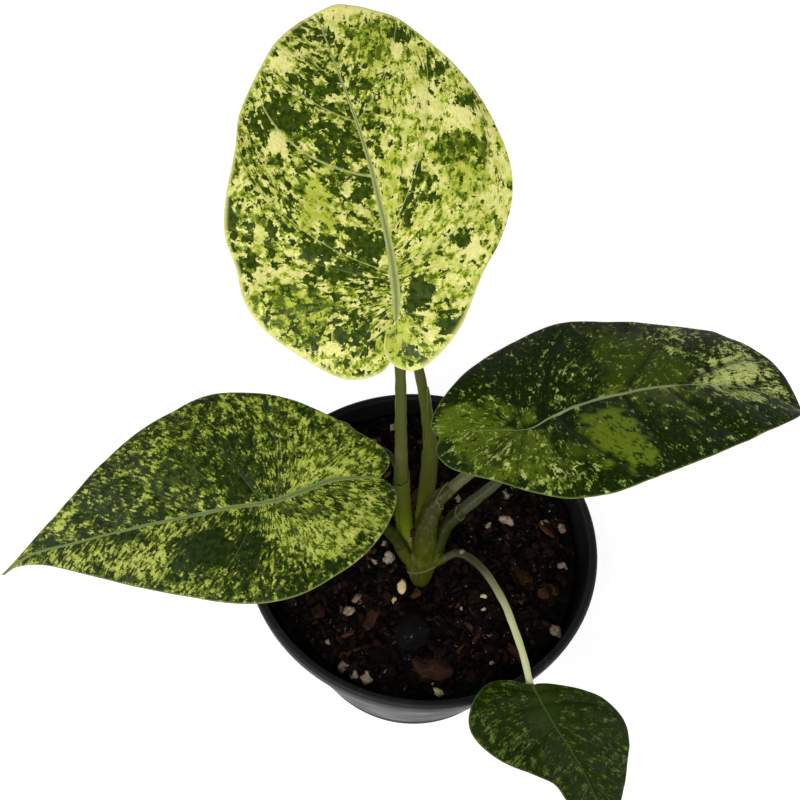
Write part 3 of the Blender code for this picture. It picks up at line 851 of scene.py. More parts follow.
    def lift(self, merged: Marks, from_rib: Array, sign: Array) -> Array:
        """How far the waves, flaps and quilting raise each point.

        Args:
            merged: The grids of both halves, in one row each.
            from_rib: How far each point is from the rib.
            sign: The side's sign at each point.

        Returns:
            Millimetres.
        """
        (x, t), reach, share = merged["plan"].T, merged["reach"], merged["share"]
        wide = smooth_step(0.0, 9.0, merged["edge"] + merged["flow"][:, 1])
        lift = sign * self.flap * np.clip((share - 0.78) / 0.14, 0, 1) * np.minimum(1.0, from_rib / 6)
        lift = lift + self.wave * wide * reach**2 * np.sin(2 * math.pi * self.waves * share + sign)
        lift = lift + merged["relief"] + self.buckle * soft_noise(x / 8.5, t / 8.5, self.seed) * np.sqrt(reach)
        lift = lift + self.pucker * soft_noise(x / 3.2, t / 3.2, self.seed + 7)
        return lift + self.frill * wide * reach**6 * soft_noise(share * 26 + 9, sign * 5.0, self.seed + 9)

    def grids(self, count: int) -> dict[Side, Array]:
        """Numbers the vertices; the halves share the rib and end in one point at tip and notch.

        Args:
            count: How many rows there are.

        Returns:
            A grid of numbers for each half.
        """
        grids: dict[Side, Array] = {}
        size = count * (self.columns + 1)
        for side in Side:
            grid = len(grids) * size + np.arange(size).reshape(count, -1)
            if side is Side.LEFT:
                grid[:, 0] = grids[Side.RIGHT][:, 0]
            grid[0, :], grid[-1, :] = grid[0, 0], grid[-1, 0]
            grids[side] = grid
        return grids

    def skin(self, grids: dict[Side, Array], used: int) -> Faces:
        """The faces of the upper side, the lower side and the margin between them.

        Args:
            grids: The vertex numbers of the upper side.
            used: How much higher the numbers of the lower side are.

        Returns:
            Faces without doubled corners.
        """
        faces: Faces = []
        for side, grid in grids.items():
            a, b, c, d = grid[:-1, :-1], grid[:-1, 1:], grid[1:, 1:], grid[1:, :-1]
            quads = np.stack([a, b, c, d], axis=-1).reshape(-1, 4)
            rim = np.stack([b[:, -1], c[:, -1], c[:, -1] + used, b[:, -1] + used], axis=-1)
            if side is Side.RIGHT:
                quads = quads[:, ::-1]
            else:
                rim = rim[:, ::-1]
            faces += [*quads.tolist(), *(quads[:, ::-1] + used).tolist(), *rim.tolist()]
        faces = [[v for k, v in enumerate(f) if v != f[k - 1]] for f in faces]
        return [f for f in faces if len(set(f)) > 2]

    def build(self, effects: Effects) -> bpy.types.Object:
        """The finished blade, standing for its node.

        Args:
            effects: The shared shader groups.

        Returns:
            The piece.
        """
        rows, marks = self.row_marks()
        halves = [self.half(side, rows, marks) for side in Side]
        used = len(Side) * len(rows) * (self.columns + 1)
        merged = {
            key: np.concatenate([half[key].reshape(used // len(Side), -1) for half in halves]).squeeze()
            for key in halves[0]
        }
        x, t = merged["plan"].T
        sign = np.repeat([side.value for side in Side], used // len(Side))
        from_rib = np.abs(x - self.rib_x(t))
        from_line = np.hypot(from_rib, np.minimum(t - self.rib[0][1], 0.0))
        half_rib = np.interp(t, *zip(*self.rib_width, strict=True))
        lift = self.lift(merged, from_rib, sign)
        edge = np.minimum(merged["edge"], 30.0)
        half = self.thickness / 2 * (0.3 + 0.7 * np.sqrt(np.clip(edge / self.thin_edge, 0, 1)))
        ridge = np.exp(-((from_line / np.maximum(half_rib, 0.2)) ** 2)) * np.minimum(1.0, half_rib)
        tops = self.place(x, t, lift + half + self.ridge * ridge)
        bottoms = self.place(x, t, lift - half - self.keel * ridge - 0.25 * merged["vein"])
        read = {"plan": np.stack([x, t, np.zeros_like(x)], axis=-1), "edge": edge, "rib": from_line / half_rib}
        read |= {key: merged[key] for key in ("flow", "vein", "valley")} | self.pattern(x, t)
        layers = {key: np.concatenate([value, value]) for key, value in read.items()}
        layers["under"] = np.repeat([0.0, 1.0], used)
        faces = self.skin(self.grids(len(rows)), used)
        kept = np.unique(np.concatenate([np.array(f) for f in faces]))
        renumber = np.full(2 * used, -1)
        renumber[kept] = np.arange(len(kept))
        faces = [renumber[f].tolist() for f in faces]
        points = np.concatenate([tops, bottoms])[kept]
        mesh = mesh_of(self.node, points, faces, {key: value[kept] for key, value in layers.items()})
        piece = new_piece("blade_" + self.node, mesh, self.colours.build(self.node + " skin", effects), self.slot)
        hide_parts(self.node)
        return piece


CREAM_SPLASHED = LeafColours(
    cream=(0.7, 0.67, 0.24), lime=(0.4, 0.45, 0.05), mid=(0.2, 0.26, 0.018), dusk=(0.075, 0.115, 0.008),
    dark=(0.015, 0.032, 0.0015), vein=(0.44, 0.47, 0.14), rib=(0.37, 0.41, 0.14), rib_core=(0.18, 0.215, 0.06),
    edge=(0.6, 0.6, 0.19), edge_width=1.7,
)
LIME_SPECKLED = LeafColours(
    cream=(0.46, 0.51, 0.11), lime=(0.28, 0.335, 0.034), mid=(0.105, 0.145, 0.013), dusk=(0.036, 0.06, 0.006),
    dark=(0.0058, 0.0145, 0.0016), gloss=0.08, roughness=0.4, soft=0.85, vein=(0.085, 0.115, 0.03),
    rib=(0.19, 0.24, 0.08), rib_core=(0.12, 0.155, 0.045), edge=(0.16, 0.21, 0.05), blotch=3, streak=0.85, length=2.8,
    cell=0.48, vein_share=0.6, furrow=0.3, edge_width=0.5, shift=11,
)
DARK_FLECKED = LeafColours(
    cream=(0.5, 0.55, 0.185), lime=(0.17, 0.245, 0.042), mid=(0.128, 0.185, 0.01), dusk=(0.02, 0.04, 0.003),
    dark=(0.0055, 0.013, 0.001), vein=(0.005, 0.01, 0.001), rib=(0.24, 0.28, 0.13), rib_core=(0.27, 0.31, 0.15),
    edge=(0.1, 0.14, 0.025), blotch=3, streak=0.85, length=2.6, cell=0.46, vein_share=0.7, furrow=0.75, gloss=0.05,
    roughness=0.42, glow=0.95, soft=0.55, edge_width=0.5, shift=23,
)
SMALL_FLECKED = LeafColours(
    cream=(0.09, 0.125, 0.03), lime=(0.06, 0.09, 0.012), mid=(0.026, 0.047, 0.003), dusk=(0.009, 0.018, 0.0008),
    dark=(0.0045, 0.0095, 0.0004), vein=(0.025, 0.04, 0.008), rib=(0.042, 0.066, 0.012),
    rib_core=(0.032, 0.052, 0.009), edge=(0.075, 0.11, 0.025), streak=0.75, length=3.6, cell=0.38, vein_share=0.4,
    furrow=0.5, gloss=0.05, glow=0.6, soft=0.75, edge_width=0.5, shift=31,
)

YOUNG_EDGE = (
    (0, 1), (0.06, 0.84), (0.17, 0.66), (0.28, 0.46), (0.35, 0.24), (0.35, 0.02), (0.29, -0.16), (0.18, -0.25),
    (0.08, -0.24), (0, -0.12),
)
YOUNG_FLOW = ((1, 0, 0), (0.68, 0.16, 0.6), (0.42, 0.32, 0.8), (0.18, 0.48, 0.8), (0.03, 0.64, 0.8))
YOUNG_FLOW += ((-0.02, 0.82, 0.6), (-0.12, 1, 0))


def young_blade(
    node: str, slot: Slot, colours: LeafColours, joint: Place, turns: Place, length: float, **more: Any
) -> LeafBlade:
    """A young heart-shaped blade, its outline and veins scaled to its length.

    Args:
        node: The node it stands for.
        slot: The record's slot of its finish.
        colours: Its colours.
        joint: Where its stalk meets it.
        turns: Its heading, pitch and roll in degrees.
        length: From its joint to its tip.
        **more: Other fields of the blade.

    Returns:
        The blade.
    """
    return LeafBlade(
        node=node, slot=slot, colours=colours, joint=joint, turns=turns, length=length, lobe=0.25 * length,
        half_width=0.35 * length, right=tuple((x * length, t * length) for x, t in YOUNG_EDGE),
        left=tuple((-x * length, t * length) for x, t in YOUNG_EDGE),
        rib=((0.0, -0.12 * length), (0.0, 0.0), (0.0, 0.5 * length), (0.0, length)),
        rib_width=((-0.12 * length, 0.2), (0.0, 0.7), (0.6 * length, 0.35), (length, 0.12)),
        flow=tuple((s * length, share, 0.05, g, share, 0.05, g) for s, share, g in YOUNG_FLOW), rows=50, columns=22,
        **more,
    )


TOP_LEAF = LeafBlade(
    node="leaf_top", slot=Slot.PALE, colours=CREAM_SPLASHED, joint=(-11.3, 16.7, 179), turns=(10, 24, 0), length=97,
    lobe=15, half_width=36,
    right=(
        (-12.9, 87.9), (-9.6, 89), (-4.2, 89.2), (8.3, 84.5), (17.6, 72.9), (26.9, 59.3), (31.9, 44.6), (32.5, 30.9),
        (29, 20.1), (22.3, 9.2), (16, -2.5), (9.7, -9.4), (3.6, -13.3), (-1, -12.6), (-4, -8.8), (-3.9, -5),
        (-2.4, -1.9), (-0.5, -0.6),
    ),
    left=(
        (-12.9, 87.9), (-15.3, 86.4), (-18, 84.2), (-24.2, 77), (-30.4, 67), (-34.9, 57), (-36.6, 46.2),
        (-40.1, 33.3), (-40.8, 24), (-38.7, 15.7), (-37.4, 7.1), (-33, -0.5), (-24.8, -7.6), (-14.9, -13.7),
        (-6.8, -14.2), (-3, -11.4), (-2.9, -7.5), (-3.3, -4.6), (-2.9, -2.1), (-0.5, -0.6),
    ),
    rib=(
        (-0.5, -0.6), (0, 4), (0.1, 11), (-0.4, 20), (-1.6, 30), (-2.8, 40), (-5.1, 53), (-7.8, 65.4), (-9.7, 74),
        (-11.2, 81.5), (-12.9, 87.9),
    ),
    rib_width=((-0.6, 0.5), (2, 1), (8, 1.2), (20, 0.9), (40, 0.6), (60, 0.35), (97, 0.12)),
    flow=(
        (87.9, 0, 0, 0, 0, 0, 0), (68, 0.095, 0.02, 0.5, 0.095, 0.03, 0.6), (53, 0.145, 0.08, 0.8, 0.15, 0.08, 0.9),
        (37, 0.175, 0.09, 0, 0.19, 0.18, 1), (28, 0.19, 0.09, 0, 0.265, 0.15, 0.5),
        (21, 0.205, 0.085, 1, 0.3, 0.14, 0), (11.5, 0.335, 0.22, 1, 0.335, 0.12, 1),
        (9.5, 0.43, 0.2, 0, 0.47, 0.06, 0.6), (5, 0.6, 0.2, 0.5, 0.66, 0.02, 0.6),
        (2, 0.8, 0.1, 0.5, 0.83, -0.04, 0.5), (-0.6, 1, 0, 0, 1, 0, 0),
    ),
    ground=(0.26, 0.3, 0.3),
    patches=(
        (14, 40, 22, 50, 0, 0.11, 0.27, 0.4), (-12, 50, 13, 26, 14, 0.46, 0.45, 0.3),
        (-12, 14, 15, 14, 0, 0.46, 0.4, 0.3), (-22, 22, 14, 14, 30, 0.36, 0.4, 0.3),
        (-35, 38, 5, 16, 0, 0.3, 0.4, 0.3), (-22.5, 55, 4.3, 6, -10, 1, 0.5, 0),
        (-28.5, 54, 3.4, 4.6, 0, 0.93, 0.5, 0), (-26, 47.5, 2.6, 3.6, 0, 0.02, 0.02, 0),
        (-10.5, 47, 7, 4.6, 10, 0.83, 0.5, 0), (-4.5, 34, 2.6, 4.2, 0, 0.88, 0.5, 0),
        (-18.5, 31, 3.2, 6.4, 20, 0.05, 0.2, 0.95), (-15.5, 26, 4.2, 3, 0, 0.06, 0.25, 1),
        (-17, 18, 3.6, 3.8, 0, 0.92, 0.5, 0), (-6, 19, 4.6, 4.6, 0, 0.88, 0.5, 0), (-13, 12, 5, 2.8, 0, 0.86, 0.5, 0),
        (-33, 13, 3.8, 2.8, 10, 0.04, 0.05, 0), (-27, 13, 2.8, 2.6, 0, 0.06, 0.12, 0.1),
        (-25, 5, 9.5, 5, 10, 0.24, 0.78, 1.1), (-39.3, 28, 2.2, 3.2, 0, 0.95, 0.5, 0),
        (-36, 15.5, 2.5, 2.8, 0, 0.78, 0.5, 0), (-12, -3, 6, 4.2, 20, 0.76, 0.4, 0.2),
        (-17.5, -6, 2.8, 2.8, 0, 0.05, 0.1, 0.1), (-22, -3, 5, 3, 0, 0.4, 0.6, 0.6),
        (-2, 87, 12, 3.4, 0, 0.06, 0.08, 0.1), (-9, 82, 3, 5, 0, 0.1, 0.1, 0.2), (1, 77, 8, 7, 0, 0.14, 0.74, 0.9),
        (9, 78, 3.6, 3.2, 0, 0.82, 0.5, 0), (13, 80, 3, 3, 0, 0.6, 0.4, 0.2), (7.3, 73.5, 1.9, 2.7, 0, 0, 0, 0),
        (17, 66.5, 2.8, 5, 20, 0.7, 0.4, 0), (23.5, 55.5, 3, 1.9, 0, 0.98, 0.5, 0),
        (29.5, 33, 3, 14, -4, 0.1, 0.12, 0.3), (13, 57, 4, 5, 0, 0.1, 0.1, 0.2), (25, 10, 3.6, 4, 0, 0.1, 0.3, 0.3),
        (21.5, 51, 4.4, 3.2, 0, 0.04, 0.05, 0), (20.5, 42.5, 7, 4, 0, 0.44, 0.85, 0.8),
        (20.5, 34.5, 6, 4.4, 0, 0.16, 0.4, 0.9), (20.3, 16, 2.9, 2.9, 0, 0, 0, 0),
        (17.3, 18.8, 2.4, 2.6, 0, 0.88, 0.5, 0), (6, 6, 3.7, 4.5, 0, 0.99, 0.5, 0),
        (13.5, -2.5, 3.4, 3, 0, 0.84, 0.5, 0), (-0.5, -7.5, 4.4, 6.6, 0, 0.05, 0.3, 1),
        (3.5, -9, 3.2, 2.6, 0, 0.62, 0.5, 0.6), (5.6, 29.5, 2.2, 8, 14, 0.76, 0.4, 0),
        (2.2, 35, 1.9, 9.5, 10, 0.08, 0.2, 0.7), (10, 33, 3.2, 3.2, 0, 0.76, 0.5, 0),
        (-11, 79.5, 3, 3.2, 0, 0.84, 0.5, 0), (-17, 82, 4, 3, 0, 0.62, 0.4, 0.2),
        (-22.5, 71, 3.2, 3, 0, 0.06, 0.1, 0), (-12.5, 61.5, 6.6, 2.6, -32, 0.82, 0.4, 0),
        (-19, 65, 4.6, 2, -32, 0.78, 0.4, 0), (0.5, 57, 3, 4, 0, 0.6, 0.6, 0.5),
    ),
    bend=20, wave=0.8, waves=4, curl=80, curl_share=0.1, flap=2.4, rows=150, columns=56, quilt=0.3, seed=3,
)
LEFT_LEAF = LeafBlade(
    node="leaf_left", slot=Slot.MOTTLED, colours=LIME_SPECKLED, joint=(-41.9, -14.7, 134), turns=(102, -6, 0),
    length=82, lobe=34, half_width=33,
    right=(
        (-0.6, 81.9), (4.2, 73.4), (14.2, 60.1), (21.5, 49.5), (28.8, 37.3), (34.2, 26.1), (37, 14.6), (34.2, 1.9),
        (29.3, -8.9), (20.4, -23), (14.4, -31), (10.3, -33.4), (7.4, -32.8), (4.2, -30.1),
    ),
    left=(
        (-0.6, 81.9), (0.1, 77), (-2.2, 67.6), (-9.4, 52.8), (-16.1, 39.4), (-22.6, 24.9), (-27.3, 11), (-28, -1.4),
        (-24.9, -11.4), (-19.6, -21.2), (-11.4, -29), (-2.3, -33.9), (2.2, -32.9), (4.2, -30.1),
    ),
    rib=(
        (4.2, -30.1), (4, -16.7), (1.6, -8.3), (0, 0), (0.3, 11.3), (0.4, 26), (0.9, 40.5), (1.2, 56.2), (2.2, 70.5),
        (-0.6, 81.9),
    ),
    rib_width=((-30, 0.2), (-16, 0.8), (-4, 0.9), (4, 0.6), (20, 0.55), (45, 0.35), (70, 0.35), (82, 0.5)),
    flow=(
        (81.9, 0, 0, 0, 0, 0, 0), (60, 0.1, 0, 0.35, 0.13, 0, 0.35), (43, 0.19, 0.02, 0.6, 0.245, 0, 0.7),
        (22, 0.3, 0, 0.9, 0.34, 0, 0), (18.5, 0.325, 0, 0, 0.36, 0, 0.9), (4.5, 0.43, 0.05, 0, 0.47, 0.08, 1),
        (3, 0.45, 0.05, 1, 0.5, 0.08, 0), (-1, 0.645, 0.08, 1, 0.69, 0.04, 0.8), (-3, 0.73, 0.04, 0.7, 0.8, 0, 0.5),
        (-10, 0.86, 0, 0.4, 0.9, 0, 0.4), (-30.1, 1, 0, 0, 1, 0, 0),
    ),
    ground=(0.66, 0.45, 0.45),
    patches=(
        (8, 44, 12, 16, 0, 0.8, 0.5, 0.3), (16, 27, 9, 9.5, 0, 0.5, 0.6, 0.5), (14, 23, 7, 8, 0, 0.62, 0.9, 0.8),
        (18, 9, 6, 6, 0, 0.88, 0.6, 0.5), (8, 8, 8, 6, 0, 0.85, 0.8, 0.6), (29, 14, 4, 12, 0, 0.56, 0.6, 0.5),
        (25, -4, 8, 9, 0, 0.55, 0.5, 0.5), (10, -15, 10, 13, 0, 0.08, 0.5, 0.4), (18, -20, 5, 8, 0, 0.3, 0.6, 0.6),
        (8.5, -27, 4.5, 6, 0, 0.22, 0.5, 0.6), (-11, -12, 10.5, 13.5, 0, 0.05, 0.42, 0.35),
        (-7, -1.5, 5.6, 5.4, 0, 0.08, 0.5, 0.4), (-8, -24, 9, 8, 0, 0.08, 0.5, 0.4),
        (-4, -11, 3, 10, 0, 0.5, 0.5, 0.5), (-24, -8, 3.6, 13, -20, 0.84, 0.6, 0.5),
        (-9.5, 19, 7.5, 8.5, 0, 0.99, 0.7, 0.5), (-13, 7.5, 8, 5, 0, 0.93, 0.7, 0.5),
        (-14, 27, 4, 6, 0, 0.88, 0.7, 0.5), (-5, 50, 3.6, 18, 8, 0.46, 0.25, 0.2),
        (-9.5, 39, 4, 8, 20, 0.3, 0.2, 0.2), (-12.5, 33, 3, 4, 0, 0.22, 0.2, 0.2),
        (-3, 28, 2.4, 9, 8, 0.36, 0.3, 0.4), (-20.3, 24.5, 1.9, 5.5, 22, 0.24, 0.3, 0.4),
        (9.5, 60, 2, 6, -38, 0.24, 0.2, 0.2), (4, 61, 1.6, 5, -15, 0.36, 0.3, 0.3),
        (3, 66, 1.6, 4, 0, 0.95, 0.5, 0.5), (0, 70, 2, 7, 0, 0.5, 0.3, 0.3),
    ),
    wave=0.6, waves=3, seed=21,
)
RIGHT_LEAF = LeafBlade(
    node="leaf_right", slot=Slot.DARK, colours=DARK_FLECKED, joint=(26.5, 11.5, 135), turns=(-66, 0, -12), length=90,
    lobe=26, half_width=33,
    right=(
        (14.4, 86.6), (18, 79.6), (21.3, 64.4), (24.9, 46.9), (26.8, 34.9), (28.1, 23), (28.4, 12.3), (25.6, 0.8),
        (19.4, -8.4), (12.1, -15.7), (3.1, -23.2), (-4.3, -25.8), (-8, -24.9), (-10.1, -23),
    ),
    left=(
        (14.4, 86.6), (6.3, 88.6), (-5.6, 89), (-16.3, 83.4), (-24.6, 72.6), (-29.5, 57.1), (-32.8, 41.3),
        (-35.5, 27.8), (-34.1, 14.1), (-30.7, 1), (-24.5, -11.3), (-19.4, -18.8), (-14.7, -23.3), (-10.1, -23),
    ),
    rib=(
        (-10.1, -23), (-4.5, -10), (0, 0), (-1.1, 6.8), (-2.5, 15.7), (-3, 23.6), (-2.9, 33.6), (-2.5, 43.1),
        (-1.6, 52.6), (1.8, 68.3), (5.4, 77), (14.4, 86.6),
    ),
    rib_width=(
        (-23, 0.02), (-1, 0.1), (7, 0.36), (20, 0.5), (38, 0.5), (50, 0.34), (62, 0.2), (85, 0.14),
    ),
    flow=(
        (86.6, 0, 0, 0, 0, 0, 0), (66, 0.11, 0.05, 0.5, 0.085, 0.03, 0.5), (52, 0.18, 0.08, 0, 0.15, 0.05, 0.9),
        (47, 0.205, 0.1, 0.8, 0.19, 0.04, 0), (32, 0.4, 0.03, 0.9, 0.355, 0, 0.8),
        (20, 0.43, 0.08, 0, 0.44, 0.03, 0.5), (11, 0.46, 0.12, 1, 0.52, 0.05, 0),
        (5, 0.6, 0.05, 0.5, 0.575, 0.058, 1), (-0.5, 0.76, 0, 0.7, 0.75, 0, 0.8),
        (-2, 0.85, -0.02, 0.5, 0.9, -0.05, 0.8), (-23, 1, 0, 0, 1, 0, 0),
    ),
    ground=(0.89, 0.35, 0.5),
    patches=(
        (-10, 45, 20, 20, 0, 0.85, 0.56, 0.6), (-23, 63, 5, 12, -12, 0.62, 0.3, 0.2),
        (-15, 57, 2.8, 3.2, 0, 0.36, 0.3, 0.2), (-12, 66, 5, 8, 0, 0.76, 0.3, 0.2),
        (-3.6, 73, 5.6, 13.5, -8, 0.1, 0.1, 0.1), (-2.2, 59, 1.8, 6.5, -10, 0.2, 0.3, 0.3),
        (-13, 79, 3, 6, 12, 0.5, 0.2, 0.1), (5, 68, 3.2, 9.5, 17, 0.1, 0.2, 0.4), (4, 82, 5, 5, 0, 0.42, 0.2, 0.1),
        (11, 21, 11.5, 8.6, 0, 0.84, 0.9, 0.9), (19, 25, 4.8, 4.6, 0, 0.74, 1, 1), (9, 24, 6, 5.6, 20, 0.76, 1, 1),
        (13, 8, 5, 4, 0, 0.92, 0.6, 0.5), (14, -3, 10, 12, 35, 0.6, 0.45, 0.35), (8, -17, 3, 2.2, 0, 0.25, 0.4, 0.6),
        (20, -2.5, 2.4, 3.2, 0, 0.3, 0.5, 0.6), (-8, -15, 5.5, 8, 20, 0.62, 0.66, 0.8),
        (-12, -16, 6, 5, 20, 0.8, 0.7, 0.7), (3, -9, 15, 12, 0, 0.66, 0.72, 0.4), (5, -11, 5, 5, 0, 0.62, 0.5, 0.4),
        (-4.2, 28, 1.8, 5, 0, 0.35, 0.8, 0.8), (-1, 46, 1.4, 4, 0, 0.45, 0.6, 0.5),
        (-16, 21, 3, 8, 30, 0.76, 0.4, 0.3), (-6, 12, 2, 7, 35, 0.76, 0.4, 0.3),
    ),
    arch=5, wave=0.8, waves=2.5, quilt=0.5, groove=0.3, furrow=1.4, seed=37,
)
SMALL_LEAF = LeafBlade(
    node="leaf_small", slot=Slot.DARK, colours=SMALL_FLECKED, joint=(34.2, -47.1, 87), turns=(-143, -24, 0),
    length=53, lobe=8, half_width=23,
    right=(
        (2.4, 53), (5.2, 44.3), (7.1, 34.8), (8.6, 27.6), (12.8, 21.3), (19, 13.1), (22.7, 3.7), (22, -2.5),
        (16.9, -6.7), (10.9, -7.8), (5.4, -5.4), (0, -0.4),
    ),
    left=(
        (2.4, 53), (-2.7, 51.4), (-8.3, 45.9), (-13.7, 39.7), (-18.1, 31.1), (-19.8, 23.7), (-17.4, 15.3), (-12, 8.3),
        (-6.1, 3.1), (-2.4, 0.5), (0, -0.4),
    ),
    rib=((0, -0.4), (0.2, 4.5), (0, 13.3), (-1, 24.3), (-1.4, 33.3), (-1, 42), (2.4, 53)),
    rib_width=((-0.4, 0.4), (5, 0.27), (20, 0.2), (53, 0.1)),
    flow=(
        (53, 0, 0, 0, 0, 0, 0), (36, 0.14, 0.05, 0.5, 0.16, 0.05, 0.5), (24, 0.3, 0.05, 0.6, 0.27, 0.05, 0.6),
        (14, 0.46, 0.05, 0.6, 0.38, 0.08, 0.8), (6, 0.66, 0.05, 0.8, 0.58, 0.08, 0.8),
        (2, 0.83, 0.02, 0.7, 0.8, 0.05, 0.6), (-0.4, 1, 0, 0, 1, 0, 0),
    ),
    ground=(0.8, 0.6, 0.5),
    patches=(
        (17, 6, 5, 10, 0, 0.62, 0.5, 0.5), (14, 16, 4, 8, 30, 0.6, 0.4, 0.3), (8, 30, 3, 10, 0, 0.62, 0.4, 0.4),
        (12, -4, 6, 2.4, 0, 0.6, 0.5, 0.4), (-12, 34, 4, 9, -20, 0.66, 0.5, 0.4), (0, 6, 5, 7, 0, 0.95, 0.8, 0.6),
    ),
    bend=24, lobe_bend=8, fold=0.16, arch=3, rows=90, columns=36, quilt=0.8, groove=0.22, seed=53,
)

BLADES = (
    TOP_LEAF, LEFT_LEAF, RIGHT_LEAF, SMALL_LEAF,
    young_blade(
        "leaf_back", Slot.PALE, CREAM_SPLASHED, (-10.6, 39.5, 151.5), (20, 0, 0), 46, arch=3, ground=(0.5, 0.4, 0.4),
        seed=61,
    ),
    young_blade(
        "leaf_lower_right", Slot.DARK, DARK_FLECKED, (34.9, 23.8, 113), (-64, -4, -4), 46, arch=3,
        ground=(0.8, 0.5, 0.5), seed=67,
    ),
    young_blade(
        "leaf_inner", Slot.MOTTLED, LIME_SPECKLED, (-28.2, 14.7, 107), (106, -4, 0), 34, arch=2, wave=0.4,
        ground=(0.6, 0.5, 0.5), seed=71,
    ),
)


# Stalks and crown


@dataclass(frozen=True)
class StalkSkin:
    """The waxy skin of a stalk: sheath colours low down, mottled grey-green above."""

    base: Colour = (0.044, 0.054, 0.0006)
    sheath: Colour = (0.027, 0.030, 0.0014)
    upper: Colour = (0.100, 0.106, 0.042)
    mottle: Colour = (0.066, 0.072, 0.026)
    tip: Colour = (0.095, 0.100, 0.040)
    tip_from: float = 40.0
    tip_fade: float = 25.0
    scar: Colour = (0.20, 0.20, 0.07)
    scar_share: float = 0.75
    rough: Point = (0.34, 0.48)
    gloss: float = 0.11
    relief: float = 0.3
    relief_depth: float = 0.0002

    def build(self, name: str, effects: Effects) -> Material:
        """The material; it reads how far each point is from the stalk's foot, in millimetres.

        Args:
            name: The material's name.
            effects: The shared groups.

        Returns:
            The material.
        """
        made, sheet, shader = new_finish(name, Specular_IOR_Level=self.gloss)
        along, spot = sheet.mark("along"), sheet.spot()
        wobble = sheet.centred(sheet.noise(spot, 260.0), 2.5)
        above = sheet.step(sheet.less(sheet.plus(along, wobble), sheet.mark("sheath_top")), -0.6, 0.6)
        low = sheet.blend(sheet.step(along, 9.0, 27.0), self.base, self.sheath)
        streak = sheet.noise(sheet.stretch(spot, (900.0, 900.0, 90.0)), 1.0, 3.0, 0.6)
        low = sheet.blend(sheet.times(sheet.step(streak, 0.45, 0.75), 0.5), low, self.upper)
        fleck = sheet.noise(sheet.stretch(spot, (1400.0, 1400.0, 420.0)), 1.0, 3.0, 0.6)
        high = sheet.blend(sheet.step(fleck, 0.42, 0.68), self.mottle, self.upper)
        high = sheet.blend(sheet.step(along, self.tip_from, self.tip_from + self.tip_fade), high, self.tip)
        skin = sheet.blend(above, low, high)
        skin = sheet.blend(sheet.times(sheet.mark("scar"), self.scar_share), skin, self.scar)
        grain = sheet.group(effects.grain, Vector=spot, Fine=2400.0, Coarse=300.0)
        ribs = sheet.noise(sheet.stretch(spot, (1500.0, 1500.0, 40.0)))
        height = sheet.plus(ribs, sheet.times(grain["Height"], 0.5))
        rough = sheet.between(grain["Spread"], *self.rough)
        normal = sheet.bump(height, self.relief, self.relief_depth)
        sheet.feed(shader, Base_Color=skin, Roughness=rough, Normal=normal)
        return made


class Look(Enum):
    """The looks of the stalks: in the middle, painted lighter where lit at the back, painted darker in the leaves'
    shade, and the pale drooping one.
    """

    MIDDLE = StalkSkin()
    # Painted light: the skin of the stalks lit at the back, its foot and sheath painted brighter than in the middle
    # look
    FRESH = StalkSkin(
        base=(0.12, 0.165, 0.003), sheath=(0.05, 0.062, 0.0025), upper=(0.066, 0.074, 0.012),
        mottle=(0.044, 0.05, 0.006), tip=(0.058, 0.065, 0.012),
    )
    SHADED = StalkSkin(
        base=(0.022, 0.028, 0.0006), sheath=(0.014, 0.017, 0.0006), upper=(0.05, 0.056, 0.024),
        mottle=(0.032, 0.037, 0.013), tip=(0.045, 0.05, 0.022),
    )
    PALE = StalkSkin(
        base=(0.03, 0.034, 0.01), sheath=(0.03, 0.034, 0.012), upper=(0.062, 0.066, 0.032),
        mottle=(0.036, 0.04, 0.017), tip=(0.42, 0.44, 0.22), tip_from=18,
    )


def rod_tree(finish: Material) -> NodeTree:
    """Geometry nodes that turn a line of points, each with its radius, into a round rod with closed ends.

    Args:
        finish: The rod's material.

    Returns:
        The tree.
    """
    tree = bpy.data.node_groups.new("round rod along a line", "GeometryNodeTree")
    tree.interface.new_socket("Geometry", in_out="INPUT", socket_type="NodeSocketGeometry")
    tree.interface.new_socket("Sides", in_out="INPUT", socket_type="NodeSocketInt").default_value = ROD_SIDES
    tree.interface.new_socket("Geometry", in_out="OUTPUT", socket_type="NodeSocketGeometry")
    sheet = Sheet(tree)
    given, made = sheet.node("NodeGroupInput").outputs, sheet.node("NodeGroupOutput")
    line = sheet.node("GeometryNodeMeshToCurve", {"Mesh": given["Geometry"]})
    radius = sheet.node("GeometryNodeInputNamedAttribute", {"Name": "radius_m"}, data_type="FLOAT")
    ring = sheet.node("GeometryNodeCurvePrimitiveCircle", {"Resolution": given["Sides"], "Radius": 1.0})
    inputs = {"Curve": line.outputs[0], "Profile Curve": ring.outputs[0], "Scale": radius.outputs[0]}
    rod = sheet.node("GeometryNodeCurveToMesh", inputs | {"Fill Caps": True})
    smooth = sheet.node("GeometryNodeSetShadeSmooth", {"Geometry": rod.outputs[0]})
    real = sheet.node("GeometryNodeRealizeInstances", {"Geometry": smooth.outputs[0]})
    dressed = sheet.node("GeometryNodeSetMaterial", {"Geometry": real.outputs[0], "Material": finish})
    sheet.feed(made, Geometry=dressed.outputs[0])
    return tree


def grown(tree: NodeTree, name: str, source: Mesh, values: dict[str, Any]) -> Mesh:
    """Runs geometry nodes on a mesh.

    Args:
        tree: The node tree.
        name: The new mesh's name.
        source: The mesh it starts from.
        values: The tree's inputs, by name.

    Returns:
        A plain mesh of the result.
    """
    carrier = placed(name + " source", source)
    step = carrier.modifiers.new("grow", "NODES")
    step.node_group = tree
    sockets = {s.name: s.identifier for s in tree.interface.items_tree if s.in_out == "INPUT"}
    for label, value in values.items():
        step[sockets[label]] = value
    return solved(carrier, name)


